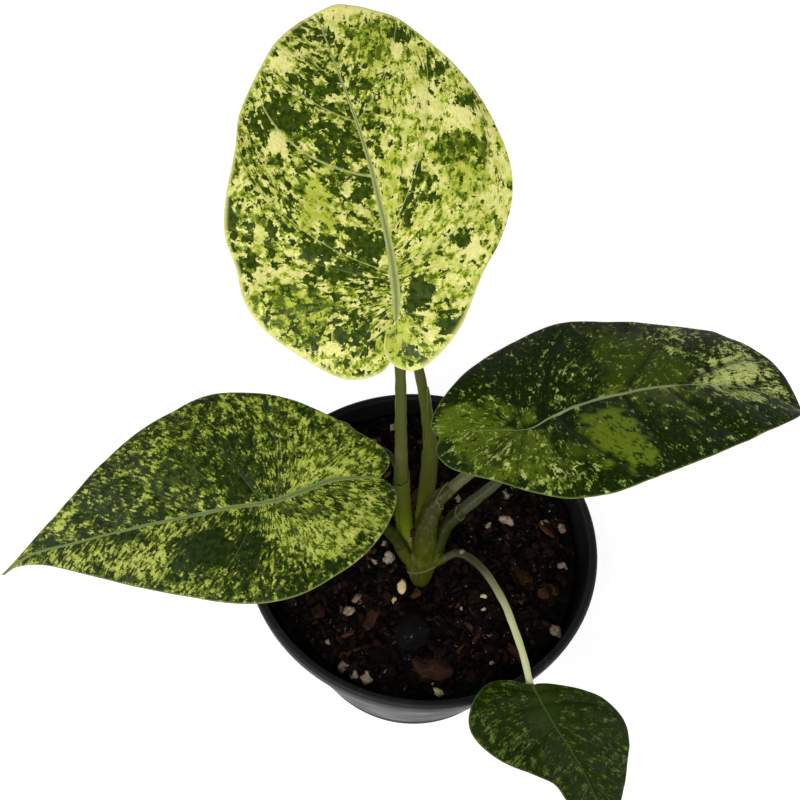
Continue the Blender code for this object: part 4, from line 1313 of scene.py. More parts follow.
def line_mesh(name: str, line: Array, marks: Marks) -> Mesh:
    """A line of edges.

    Args:
        name: The mesh's name.
        line: Its points, in millimetres.
        marks: Values to keep at each point, by attribute name.

    Returns:
        The mesh, in metres.
    """
    mesh = bpy.data.meshes.new(name)
    mesh.from_pydata((line * MM).tolist(), [(k, k + 1) for k in range(len(line) - 1)], [])
    keep_marks(mesh, marks)
    return mesh


@dataclass(frozen=True)
class LeafStalk:
    """One leaf stalk: its line from inside the crown to its blade, its radii, and its sheath's open tip."""

    node: str
    blade: str
    line: Sequence[Place]
    radii: Sequence[Point]
    sheath_top: float = 0.0
    sheath_side: float = 0.0
    sheath_slant: float = 0.1
    sheath_edge: float = 1.0
    sheath_lifts: Point = (0.24, 0.02)
    sheath_flare: float = 0.10
    sheath_tear: float = 0.9
    around: int = 28
    heights: int = 22
    foot_reach: float = 12.0
    steps: int = 90
    joint_depth: float = 0.35
    ripple: float = 0.03
    under: float = 0.0
    look: Look = Look.MIDDLE

    def centre(self) -> Array:
        """The whole line, its end turned to meet the underside of its blade.

        Returns:
            Its places.
        """
        blade = next(b for b in BLADES if b.node == self.blade)
        spot = np.array([self.under])
        below = np.array([-self.joint_depth - (self.radii[-1][1] if self.under else 0.0)])
        back, drop = (2.1, 0.6) if self.under else (0.0, 3.5)
        before = blade.place(np.zeros(1), spot - back, below - drop)[0]
        end = blade.place(blade.rib_x(spot), spot, below)[0]
        return smooth_line((*self.line, before, end), self.steps)

    def rings(self) -> tuple[Array, Array, Array]:
        """What the rod is drawn from.

        Returns:
            Places, radii and distances from the foot along the stalk.
        """
        line = self.centre()
        walked = distances(line)
        radius = np.interp(np.linspace(0, 1, len(line)), *zip(*self.radii, strict=True))
        return line, radius * (1 + self.ripple * np.sin(walked * 0.9 + len(self.node))), walked

    def build(self, tree: NodeTree, finish: Material) -> bpy.types.Object:
        """The stalk with its sheath, standing for its node.

        Args:
            tree: The nodes that make its rod.
            finish: Its material.

        Returns:
            The piece.
        """
        line, radius, walked = self.rings()
        marks = {"radius_m": radius * MM, "along": walked, "sheath_top": np.full(len(line), self.sheath_top)}
        mesh = grown(tree, self.node, line_mesh(self.node + " line", line, marks), {"Sides": ROD_SIDES})
        if self.sheath_slant:
            mesh = joined(self.node, (mesh, self.sheath(line, radius, walked)))
        piece = new_piece("skin_" + self.node, mesh, finish, Slot.STALK)
        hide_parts(self.node)
        return piece

    def sheath(self, line: Array, radius: Array, walked: Array) -> Mesh:
        """A thin sheath round the foot that ends in a slanted, torn tip.

        Args:
            line: The stalk's places.
            radius: Its radii.
            walked: Distances from its foot.

        Returns:
            The sheath's mesh.
        """
        tangent = np.gradient(line, axis=0)
        tangent /= np.linalg.norm(tangent, axis=1)[:, None]
        heading = math.radians(self.sheath_side)
        face = np.array([math.cos(heading), math.sin(heading), 0.0])
        turns = math.pi * np.linspace(-1, 1, self.around + 1)
        slant = (0.5 + 0.5 * np.cos(turns)) ** 1.5
        torn = self.sheath_tear * soft_noise(turns * 1.9 + 20, np.full(len(turns), self.sheath_top), 4)
        tops = self.sheath_top * (1 - self.sheath_slant * (1 - slant)) + torn
        layers = []
        for lift in self.sheath_lifts:
            for h in (*np.linspace(0, 0.985, self.heights), 1.0):
                reach = tops * h + 1.0 * (1 - h)
                at, way = (np.stack([np.interp(reach, walked, c) for c in rows.T], 1) for rows in (line, tangent))
                first = face - way * (way @ face)[:, None]
                first /= np.linalg.norm(first, axis=1)[:, None]
                out = np.cos(turns)[:, None] * first + np.sin(turns)[:, None] * np.cross(way, first)
                size = np.interp(reach, walked, radius) + lift + self.sheath_flare * h**6
                layers.append(at + size[:, None] * out)
        points = np.concatenate(layers)
        ring = self.around + 1
        count = (self.heights + 1) * ring
        along = np.interp(points[:, 2], [line[0, 2], line[-1, 2]], [0, walked[-1]])
        at_edge = np.tile(np.repeat([0.0] * self.heights + [self.sheath_edge], ring), 2)
        marks = {"along": along, "sheath_top": np.full(2 * count, ALL_SHEATH), "scar": at_edge}
        mesh = mesh_of("sheath", points, self.sheath_faces(ring, count), marks)
        face_out(mesh)
        return mesh

    def sheath_faces(self, ring: int, count: int) -> Faces:
        """The faces of a sheath's outside, inside and edges.

        Args:
            ring: How many points a ring has.
            count: How many points its outside has.

        Returns:
            Rows of point numbers.
        """
        faces: Faces = []
        for h in range(self.heights):
            for low in range(h * ring, h * ring + self.around):
                quad = (low, low + 1, low + 1 + ring, low + ring)
                faces += [quad, tuple(v + count for v in reversed(quad))]
            for low in (h * ring, h * ring + self.around):
                quad = (low, low + ring, low + ring + count, low + count)
                faces.append(quad if low == h * ring else quad[::-1])
        for a in range(self.around):
            top = self.heights * ring + a
            faces += [(top, top + 1, top + 1 + count, top + count), (a + 1, a, a + count, a + 1 + count)]
        return faces


STALKS = (
    LeafStalk(
        node="stalk_top", blade="leaf_top",
        line=((-1.6, -6, 82), (-4.8, -3.7, 91), (-7.2, 0.6, 109), (-8.5, 6.5, 133.5), (-9.9, 12.5, 161)),
        radii=((0, 2.7), (0.3, 2.3), (0.52, 1.75), (0.8, 1.45), (1, 1.35)), sheath_top=40, sheath_side=60,
        sheath_edge=0.25, look=Look.FRESH,
    ),
    LeafStalk(
        node="stalk_back", blade="leaf_back",
        line=((0.2, -4.5, 83), (0.1, 1.5, 91), (0.4, 8, 100.5), (0.1, 16, 115), (-4.4, 27.8, 135.5)),
        radii=((0, 2.6), (0.35, 2.3), (0.6, 1.6), (1, 1.35)), sheath_top=58, sheath_side=-20, sheath_slant=0.4,
        look=Look.FRESH,
    ),
    LeafStalk(
        node="stalk_right", blade="leaf_right",
        line=(
            (0.8, -8, 82), (0.7, -6.2, 92.5), (1.1, -2.8, 100.5), (3, 0.8, 106.2), (7.3, 4, 109.8), (12, 7.2, 113.2),
            (19.8, 9.6, 122.5),
        ),
        radii=((0, 3.3), (0.16, 3.3), (0.38, 2.6), (0.5, 1.8), (0.7, 1.45), (1, 1.3)), sheath_top=33, sheath_side=150,
        sheath_slant=0.2,
    ),
    LeafStalk(
        node="stalk_lower_right", blade="leaf_lower_right",
        line=(
            (2.6, -7.5, 82), (4.6, -5.6, 86), (6.6, -1, 91.5), (11.5, 3.2, 96.3), (20.7, 9.4, 103), (28, 15.6, 107.6),
        ),
        radii=((0, 2.2), (0.4, 1.85), (0.6, 1.6), (1, 1.3)), sheath_top=21, sheath_side=120, look=Look.SHADED,
    ),
    LeafStalk(
        node="stalk_left", blade="leaf_left",
        line=((-2.2, -9, 81.5), (-4.9, -9, 87.5), (-8, -7.2, 95), (-13, -6.8, 104), (-25, -9.3, 117)),
        radii=((0, 1.9), (0.3, 1.8), (1, 1.3)), sheath_top=30, sheath_slant=0, look=Look.SHADED,
    ),
    LeafStalk(
        node="stalk_small", blade="leaf_small",
        line=(
            (3, -10, 82), (6, -9, 85.3), (11.7, -8, 89.3), (18.5, -14, 92.6), (24.3, -23.2, 93.4), (27.4, -30, 92.6),
            (31, -38.8, 90.2),
        ),
        radii=((0, 1.3), (0.5, 1.15), (1, 1)), sheath_slant=0, under=2.5, foot_reach=7.0, look=Look.PALE,
    ),
    LeafStalk(
        node="stalk_inner", blade="leaf_inner",
        line=((-1.8, -4.5, 82), (-4.4, 1.6, 88), (-9.3, 15.5, 97.8), (-13.5, 19.3, 102), (-21, 19, 104)),
        radii=((0, 1), (1, 0.8)), sheath_slant=0, look=Look.SHADED,
    ),
)


@dataclass(frozen=True)
class Crown:
    """The neck that the stalks grow from, with the scar ring of a lost leaf round it."""

    axis: Sequence[Place] = (
        (0.5, -10.8, 60.0), (0.5, -10.2, 71.0), (0.2, -8.2, 78.0), (0.1, -7.2, 84.0), (0.1, -6.8, 88.5),
    )
    radii: Sequence[Point] = ((0.0, 1.5), (0.35, 2.7), (0.6, 4.6), (0.78, 5.3), (0.9, 4.9), (1.0, 3.0))
    steps: int = 30
    sides: int = 20
    skin: float = 0.12
    cell: float = 0.4
    foot: float = 76.0
    scar_height: float = 83.3
    scar_slope: float = 0.71
    scar_lean: float = 1.32
    scar_front: float = -13.0
    scar_width: float = 0.4
    scar_rise: float = 0.18
    scar_back: Point = (6.0, 4.0)
    scar_end: Point = (5.0, 4.2)

    def feet(self, tree: NodeTree) -> Iterable[Mesh]:
        """The rods of the neck and of the stalks' feet.

        Args:
            tree: The nodes that make a rod.

        Yields:
            A mesh for each.
        """
        radii = np.interp(np.linspace(0, 1, self.steps + 1), *zip(*self.radii, strict=True))
        parts = [(smooth_line(self.axis, self.steps), radii)]
        for stalk in STALKS:
            line, radius, walked = stalk.rings()
            near = walked <= stalk.foot_reach
            parts.append((line[near], radius[near] + self.skin))
        for line, radius in parts:
            yield grown(tree, "foot", line_mesh("foot line", line, {"radius_m": radius * MM}), {"Sides": self.sides})

    def build(self, tree: NodeTree, finish: Material) -> bpy.types.Object:
        """The crown as one skin over the neck and the feet of the stalks, standing for its node.

        Args:
            tree: The nodes that make a rod.
            finish: Its material.

        Returns:
            The piece.
        """
        carrier = placed("crown feet", joined("crown feet", self.feet(tree)))
        melt = carrier.modifiers.new("melt", "REMESH")
        melt.mode, melt.voxel_size = "VOXEL", self.cell * MM
        ease = carrier.modifiers.new("ease", "SMOOTH")
        ease.iterations, ease.factor = 6, 0.5
        mesh = solved(carrier, "crown")
        places = np.zeros(len(mesh.vertices) * 3)
        mesh.vertices.foreach_get("co", places)
        places = places.reshape(-1, 3)
        x, y, height = places.T / MM
        depth = y - self.scar_front
        away = height - self.scar_height - self.scar_slope * x + self.scar_lean * depth
        scar = np.exp(-((away / self.scar_width) ** 2))
        scar *= smooth_step(*self.scar_back, depth) * smooth_step(*self.scar_end, x)
        outward = places[:, :2] - np.array(self.axis[0][:2]) * MM
        outward /= np.linalg.norm(outward, axis=1)[:, None]
        places[:, :2] += outward * (self.scar_rise * MM * scar)[:, None]
        mesh.vertices.foreach_set("co", places.ravel())
        keep_marks(mesh, {"along": height - self.foot, "sheath_top": np.full(len(x), ALL_SHEATH), "scar": scar})
        mesh.shade_smooth()
        piece = new_piece("skin_crown", mesh, finish, Slot.STALK)
        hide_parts("crown")
        return piece


# Potting mix


@dataclass(frozen=True)
class MixFinish:
    """A finish for bits of the potting mix: two colours, how wet it looks and how rough it is."""

    name: str
    first: Colour
    second: Colour
    rough: Point
    scale: float
    bump: float
    gloss: float = 0.06
    damp: float = 0.6
    damp_rough: float = 0.12
    relief_depth: float = 0.0006

    def build(self, effects: Effects) -> Material:
        """The material; bits that were strewn vary by the shade they keep.

        Args:
            effects: The shared groups.

        Returns:
            The material.
        """
        made, sheet, shader = new_finish(self.name, Specular_IOR_Level=self.gloss, Coat_Roughness=self.damp_rough)
        spot = sheet.spot()
        damp = sheet.times(sheet.step(sheet.noise(spot, 1500.0), 0.60, 0.68), self.damp)
        mottle = sheet.less(sheet.noise(spot, self.scale, 4.0, 0.65), 0.5)
        share = sheet.plus(sheet.mark("shade"), mottle)
        tint = sheet.blend(sheet.step(share, 0.15, 0.95), self.first, self.second)
        grain = sheet.group(effects.grain, Vector=spot, Fine=self.scale * 6, Coarse=self.scale)
        rough = sheet.between(grain["Spread"], *self.rough)
        normal = sheet.bump(grain["Height"], self.bump, self.relief_depth)
        sheet.feed(shader, Coat_Weight=damp, Base_Color=tint, Roughness=rough, Normal=normal)
        return made


def chance(sheet: Sheet, seed: Any, shift: int, low: Any, high: Any) -> Socket:
    """A random value for each point.

    Args:
        sheet: The tree to write in.
        seed: The tree's seed.
        shift: Tells this draw from the others.
        low: The lowest value, a number or three of them.
        high: The highest.

    Returns:
        The value.
    """
    first, output, kind = (0, 0, "FLOAT_VECTOR") if isinstance(low, tuple) else (2, 1, "FLOAT")
    inputs = {first: low, first + 1: high, "Seed": sheet.plus(seed, float(shift))}
    return sheet.node("FunctionNodeRandomValue", inputs, data_type=kind).outputs[output]


def strewn_tree() -> NodeTree:
    """Geometry nodes that strew rough bits over a surface, each with its own size, turn and shade.

    Returns:
        The tree.
    """
    tree = bpy.data.node_groups.new("strewn bits", "GeometryNodeTree")
    for label, kind, value in (
        ("Geometry", "Geometry", None), ("Density", "Float", 1e5), ("Smallest", "Float", 0.0004),
        ("Largest", "Float", 0.001), ("Flatness", "Float", 0.7), ("Stretch", "Float", 1.0),
        ("Roughen", "Float", 0.0003), ("Detail", "Int", 2), ("Seed", "Int", 0), ("Finish", "Material", None),
    ):
        socket = tree.interface.new_socket(label, in_out="INPUT", socket_type="NodeSocket" + kind)
        if value is not None:
            socket.default_value = value
    tree.interface.new_socket("Geometry", in_out="OUTPUT", socket_type="NodeSocketGeometry")
    sheet = Sheet(tree)
    given, made = sheet.node("NodeGroupInput").outputs, sheet.node("NodeGroupOutput")
    seed = given["Seed"]
    inputs = {"Mesh": given["Geometry"], "Density": given["Density"], "Seed": seed}
    points = sheet.node("GeometryNodeDistributePointsOnFaces", inputs)
    bit = sheet.node("GeometryNodeMeshIcoSphere", {"Radius": 1.0, "Subdivisions": given["Detail"]})
    skewed = sheet.maths("POWER", chance(sheet, seed, 3, 0.0, 1.0), 2.0)
    span = sheet.less(given["Largest"], given["Smallest"])
    size = sheet.plus(given["Smallest"], sheet.times(skewed, span))
    shape = sheet.triple(given["Stretch"], chance(sheet, seed, 4, 0.7, 1.3), given["Flatness"])
    turn = chance(sheet, seed, 5, (-1.1, -1.1, 0.0), (1.1, 1.1, 6.283))
    inputs = {"Points": points.outputs[0], "Instance": bit.outputs[0], "Rotation": turn}
    bits = sheet.node("GeometryNodeInstanceOnPoints", inputs | {"Scale": sheet.scaled(shape, size)})
    inputs = {"Geometry": bits.outputs[0], "Name": "shade", "Value": chance(sheet, seed, 6, 0.0, 1.0)}
    kept = sheet.node("GeometryNodeStoreNamedAttribute", inputs, domain="INSTANCE", data_type="FLOAT")
    real = sheet.node("GeometryNodeRealizeInstances", {"Geometry": kept.outputs[0]})
    wander = sheet.noise(sheet.node("GeometryNodeInputPosition").outputs[0], 900.0, output=1)
    offset = sheet.scaled(sheet.stretch(wander, (2.0, 2.0, 2.0), (-1.0, -1.0, -1.0)), given["Roughen"])
    rough = sheet.node("GeometryNodeSetPosition", {"Geometry": real.outputs[0], "Offset": offset})
    dressed = sheet.node("GeometryNodeSetMaterial", {"Geometry": rough.outputs[0], "Material": given["Finish"]})
    sheet.feed(made, Geometry=dressed.outputs[0])
    return tree


@dataclass(frozen=True)
class Strewing:
    """One kind of bit strewn in the mix: how many a square metre, its sizes in metres and its shape."""

    name: str
    finish: MixFinish
    density: float
    sizes: Point
    flatness: float
    stretch: float
    roughen: float
    detail: int
    seed: int

    def values(self, finish: Material) -> dict[str, Any]:
        """What the strewing tree is given.

        Args:
            finish: The material of the bits.

        Returns:
            Its inputs, by name.
        """
        shape = {"Flatness": self.flatness, "Stretch": self.stretch, "Roughen": self.roughen, "Detail": self.detail}
        spread = {"Density": self.density, "Smallest": self.sizes[0], "Largest": self.sizes[1], "Seed": self.seed}
        return {**spread, **shape, "Finish": finish}


DARK_BED = MixFinish("wet dark mix", (0.0008, 0.0004, 0.0003), (0.004, 0.002, 0.0012), (0.6, 0.95), 420.0, 0.9)
CRUMB = MixFinish("dark crumbs", (0.0010, 0.0005, 0.0003), (0.009, 0.0036, 0.0016), (0.5, 0.9), 500.0, 0.8)
BARK = MixFinish("reddish bark", (0.006, 0.0022, 0.001), (0.052, 0.022, 0.010), (0.5, 0.85), 380.0, 0.8)
PERLITE = MixFinish("stained perlite", (0.11, 0.07, 0.042), (0.48, 0.40, 0.30), (0.6, 0.9), 700.0, 0.9)
CHARCOAL = MixFinish("charcoal", (0.0025, 0.0020, 0.0020), (0.010, 0.0085, 0.0085), (0.5, 0.85), 600.0, 0.9)
PELLET = MixFinish("fertiliser pellets", (0.46, 0.35, 0.15), (0.70, 0.60, 0.34), (0.45, 0.6), 300.0, 0.3)

STREWN = (
    Strewing("mix_crumbs", CRUMB, 2.6e5, (0.0004, 0.0019), 0.55, 1.5, 0.0007, 2, 5),
    Strewing("mix_bark", BARK, 2.0e4, (0.0006, 0.0026), 0.32, 1.8, 0.0008, 2, 17),
    Strewing("mix_perlite", PERLITE, 2.6e3, (0.0005, 0.0014), 0.85, 1.0, 0.0004, 3, 29),
)


class LumpKind(Enum):
    """What a lump that stands out in the mix is."""

    CHARCOAL = CHARCOAL
    BARK = BARK
    PELLET = PELLET
    PERLITE = PERLITE


LUMP_ROUGHNESS = {LumpKind.PELLET: 0.03, LumpKind.PERLITE: 0.22, LumpKind.BARK: 0.30, LumpKind.CHARCOAL: 0.2}


@dataclass(frozen=True)
class PottingMix:
    """The potting mix: an uneven bed, strewn bits and the lumps that stand out in the photograph."""

    level: float = 71.5
    swell: float = 0.8
    relief: Sequence[Point] = ((4.2, 0.75), (1.9, 0.5), (0.9, 0.28))
    relief_seed: int = 90
    rim_radius: float = 55.0
    bed_radius: float = 50.4
    foot_radius: float = 37.6
    bottom: float = 1.9
    rings: int = 84
    sides: int = 300
    crown_centre: Point = (0.5, -10.0)
    crown_clear: float = 4.6
    wall_clear: float = 1.2
    patch: float = 1.5
    sunk: float = 0.15
    lumps: Sequence[tuple[LumpKind, Point, Place, float]] = (
        (LumpKind.CHARCOAL, (-1.6, -28.8), (6.4, 6, 4.4), 10), (LumpKind.BARK, (5.7, -39.6), (6.6, 3, 1.6), -12),
        (LumpKind.PELLET, (-5.3, -13.5), (1.5, 2.6, 1.5), 5), (LumpKind.PELLET, (-7.6, -17.8), (1.2, 1.2, 1.1), 0),
        (LumpKind.PELLET, (6.8, -46), (2.7, 1.4, 1.1), -8), (LumpKind.PERLITE, (-18.9, -18.4), (1.9, 1.6, 1.6), 20),
        (LumpKind.PERLITE, (-21.5, -22.8), (2, 1.7, 1.5), 40), (LumpKind.PERLITE, (-9.8, -4.6), (2.4, 2, 2), 70),
        (LumpKind.PERLITE, (28.2, 21.4), (2.2, 1.7, 1.6), 15), (LumpKind.PERLITE, (27.9, 11.6), (1.9, 2.4, 1.7), 60),
        (LumpKind.PERLITE, (41, 11.4), (2, 1.6, 1.5), 0), (LumpKind.PERLITE, (43.6, -24.8), (2.3, 1.7, 1.5), -50),
        (LumpKind.PERLITE, (-14.4, -43), (2.2, 1.9, 1.6), 30),
        (LumpKind.PERLITE, (-21.9, -40.4), (1.9, 1.7, 1.5), 80),
        (LumpKind.PERLITE, (-14.4, -4.4), (1.4, 1.7, 1.3), 10), (LumpKind.PERLITE, (46, 10.2), (1.4, 1.6, 1.3), 30),
        (LumpKind.PERLITE, (46.4, -3), (1.3, 1.7, 1.2), 60), (LumpKind.PERLITE, (-18.4, -43.2), (1.3, 1.5, 1.1), 0),
        (LumpKind.PERLITE, (-27, -32.9), (1.1, 1, 0.9), 0), (LumpKind.PERLITE, (11.6, 18.6), (1.7, 1.4, 1.3), 45),
        (LumpKind.PERLITE, (-18.2, 38), (1.8, 1.4, 1.3), 20), (LumpKind.PERLITE, (-11.3, 44), (1.4, 1.3, 1.1), 70),
        (LumpKind.PELLET, (20.2, -15.6), (1.9, 1.2, 1), 30), (LumpKind.BARK, (-31.4, -23.6), (2.6, 2.2, 1.5), 30),
        (LumpKind.BARK, (-14.6, -24.6), (2.2, 4.6, 1.5), -24), (LumpKind.BARK, (-9.8, -17.4), (1.4, 2, 1.2), 10),
        (LumpKind.BARK, (-4.4, -22.4), (1.5, 1.1, 1), 0), (LumpKind.BARK, (41.2, -12.3), (3.2, 2.4, 1.3), 40),
        (LumpKind.BARK, (33.2, -7.4), (3.4, 2.2, 1.3), -30), (LumpKind.BARK, (-26, -14.6), (1.7, 1.3, 1.1), 50),
        (LumpKind.BARK, (22.4, -21), (4.4, 0.9, 0.9), 55), (LumpKind.BARK, (19.4, -27), (3.8, 0.8, 0.9), 62),
        (LumpKind.BARK, (14, -32.5), (3, 0.8, 0.9), 48),
    )
    lodged: Sequence[tuple[LumpKind, Place, Place]] = (
        (LumpKind.PERLITE, (-4.2, -5.8, 93.2), (1, 1, 1.3)), (LumpKind.BARK, (-3.1, -4.7, 95.2), (1.1, 1, 1.8)),
        (LumpKind.PERLITE, (12.2, -8.1, 90.9), (0.8, 0.7, 0.7)),
    )

    def height(self, x: Array, y: Array) -> Array:
        """The bed's uneven surface: the CAD's swells with finer lumps on them.

        Args:
            x: Places to the right.
            y: Places to the back.

        Returns:
            Heights above the pot's underside.
        """
        swell = np.sin(0.21 * x + 0.6) * np.cos(0.17 * y - 0.9) + 0.7 * np.sin(0.33 * x - 0.27 * y + 2.0)
        swell = swell + 0.5 * np.cos(0.41 * x + 0.38 * y)
        fade = 1 - 0.6 * np.minimum(1.0, np.hypot(x, y) / self.rim_radius) ** 4
        fine = [
            size * soft_noise(x / step, y / step, self.relief_seed + k) for k, (step, size) in enumerate(self.relief)
        ]
        return self.level + self.swell * swell * fade + sum(fine)

    def bed(self) -> Mesh:
        """The bed as one closed plug.

        Returns:
            Its mesh.
        """
        radii = self.bed_radius * np.linspace(1 / self.rings, 1, self.rings)
        top = np.concatenate([np.zeros((1, 3)), *(circle(radius, 0.0, self.sides) for radius in radii)])
        top[:, 2] = self.height(top[:, 0], top[:, 1])
        wall = circle(self.bed_radius, self.level - 3, self.sides), circle(self.foot_radius, self.bottom, self.sides)
        points = np.concatenate([top, *wall, [[0.0, 0.0, self.bottom]]])
        faces = turned_faces(self.rings + len(wall), self.sides)
        return mesh_of("mix bed", points, faces, {"shade": np.full(len(points), 0.4)})

    def field_mesh(self, margin: float) -> Mesh:
        """The part of the bed that bits are strewn on, clear of the wall and the crown.

        Args:
            margin: How far more the bits stay clear of the wall.

        Returns:
            Its mesh.
        """
        step = self.patch
        ticks = np.arange(-self.bed_radius, self.bed_radius, step)
        points, faces = [], []
        for x in ticks:
            for y in ticks:
                middle = (x + step / 2, y + step / 2)
                inside = math.hypot(*middle) < self.bed_radius - margin - self.wall_clear
                if inside and math.dist(middle, self.crown_centre) > self.crown_clear:
                    faces.append(range(len(points), len(points) + 4))
                    points += [(x, y), (x + step, y), (x + step, y + step), (x, y + step)]
        plan = np.array(points)
        return mesh_of("mix field", np.column_stack([plan, self.height(*plan.T) + self.sunk]), faces)

    def lump_mesh(self, number: int, kind: LumpKind, place: Place, sizes: Place, turn: float) -> Mesh:
        """One lump.

        Args:
            number: Picks its roughness.
            kind: What it is.
            place: Its middle.
            sizes: Its half sizes.
            turn: Its turn in degrees.

        Returns:
            Its mesh.
        """
        shape = bmesh.new()
        bmesh.ops.create_icosphere(shape, subdivisions=3 if kind is LumpKind.BARK else 4, radius=1.0)
        ball = np.array([v.co for v in shape.verts])
        faces = [tuple(v.index for v in face.verts) for face in shape.faces]
        shape.free()
        x, y, z = ball.T
        relief = sum(soft_noise(x * f + number, y * f + z * f * 0.7, number) / f for f in (1.5, 3.5, 7.0))
        body = ball * (1 + LUMP_ROUGHNESS[kind] * relief[:, None] * 1.8)
        if kind is LumpKind.BARK:
            body = np.sign(body) * np.abs(body) ** 0.75
        spin = np.array(Matrix.Rotation(math.radians(turn), 3, "Z"))
        marks = {"shade": np.full(len(ball), 0.35 + 0.3 * ((number * 7) % 5) / 5)}
        return mesh_of(f"lump {number}", (body * np.array(sizes)) @ spin.T + np.array(place), faces, marks)

    def build(self, effects: Effects) -> None:
        """The bed, the strewn bits and the lumps.

        Args:
            effects: The shared groups.
        """
        piece = new_piece("mix_bed", self.bed(), DARK_BED.build(effects), Slot.SOIL)
        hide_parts("soil")
        tree = strewn_tree()
        finishes = {}
        for kind in STREWN:
            finish = finishes[kind.finish.name] = kind.finish.build(effects)
            mesh = grown(tree, kind.name, self.field_mesh(kind.sizes[1] / MM), kind.values(finish))
            (mesh.shade_smooth if kind.finish is PERLITE else mesh.shade_flat)()
            new_piece(kind.name, mesh, finish, Slot.SOIL)
        grains = []
        for what, (x, y), sizes, turn in self.lumps:
            height = float(self.height(np.array([x]), np.array([y]))[0]) + sizes[2] * self.sunk
            grains.append((what, (x, y, height), sizes, turn))
        grains += [(*grain, 0.0) for grain in self.lodged]
        for kind in LumpKind:
            wanted = (self.lump_mesh(number, *grain) for number, grain in enumerate(grains) if grain[0] is kind)
            mesh = joined("lumps", wanted)
            (mesh.shade_flat if kind is LumpKind.BARK else mesh.shade_smooth)()
            finish = finishes.get(kind.value.name) or kind.value.build(effects)
            new_piece("lumps_" + kind.name.lower(), mesh, finish, Slot.SOIL)


# Pot


@dataclass(frozen=True)
class PotPlastic:
    """Thin black moulded plastic with a satin gloss, dusty and lightly scratched."""

    black: Colour = (0.0065, 0.0065, 0.007)
    dust: Colour = (0.10, 0.10, 0.10)
    wear: float = 0.35
    dust_share: float = 0.35
    wear_share: float = 0.4
    rough: Point = (0.38, 0.54)
    dust_rough: float = 0.25
    gloss: float = 0.18
    relief: float = 0.12
    relief_depth: float = 0.0003

    def build(self, effects: Effects) -> Material:
        """The pot's material.

        Args:
            effects: The shared groups.

        Returns:
            The material.
        """
        made, sheet, shader = new_finish("black pot plastic", Specular_IOR_Level=self.gloss)
        spot = sheet.spot()
        scuffs = sheet.group(effects.scuffs, Vector=spot, Amount=self.wear)
        worn = sheet.maths("MAXIMUM", scuffs["Scratches"], sheet.times(scuffs["Dust"], self.dust_share))
        tint = sheet.blend(sheet.times(worn, self.wear_share), self.black, self.dust)
        grain = sheet.group(effects.grain, Vector=spot, Fine=900.0, Coarse=70.0)
        rough = sheet.plus(sheet.between(grain["Spread"], *self.rough), sheet.times(scuffs["Dust"], self.dust_rough))
        normal = sheet.bump(grain["Height"], self.relief, self.relief_depth)
        sheet.feed(shader, Base_Color=tint, Roughness=rough, Normal=normal)
        return made


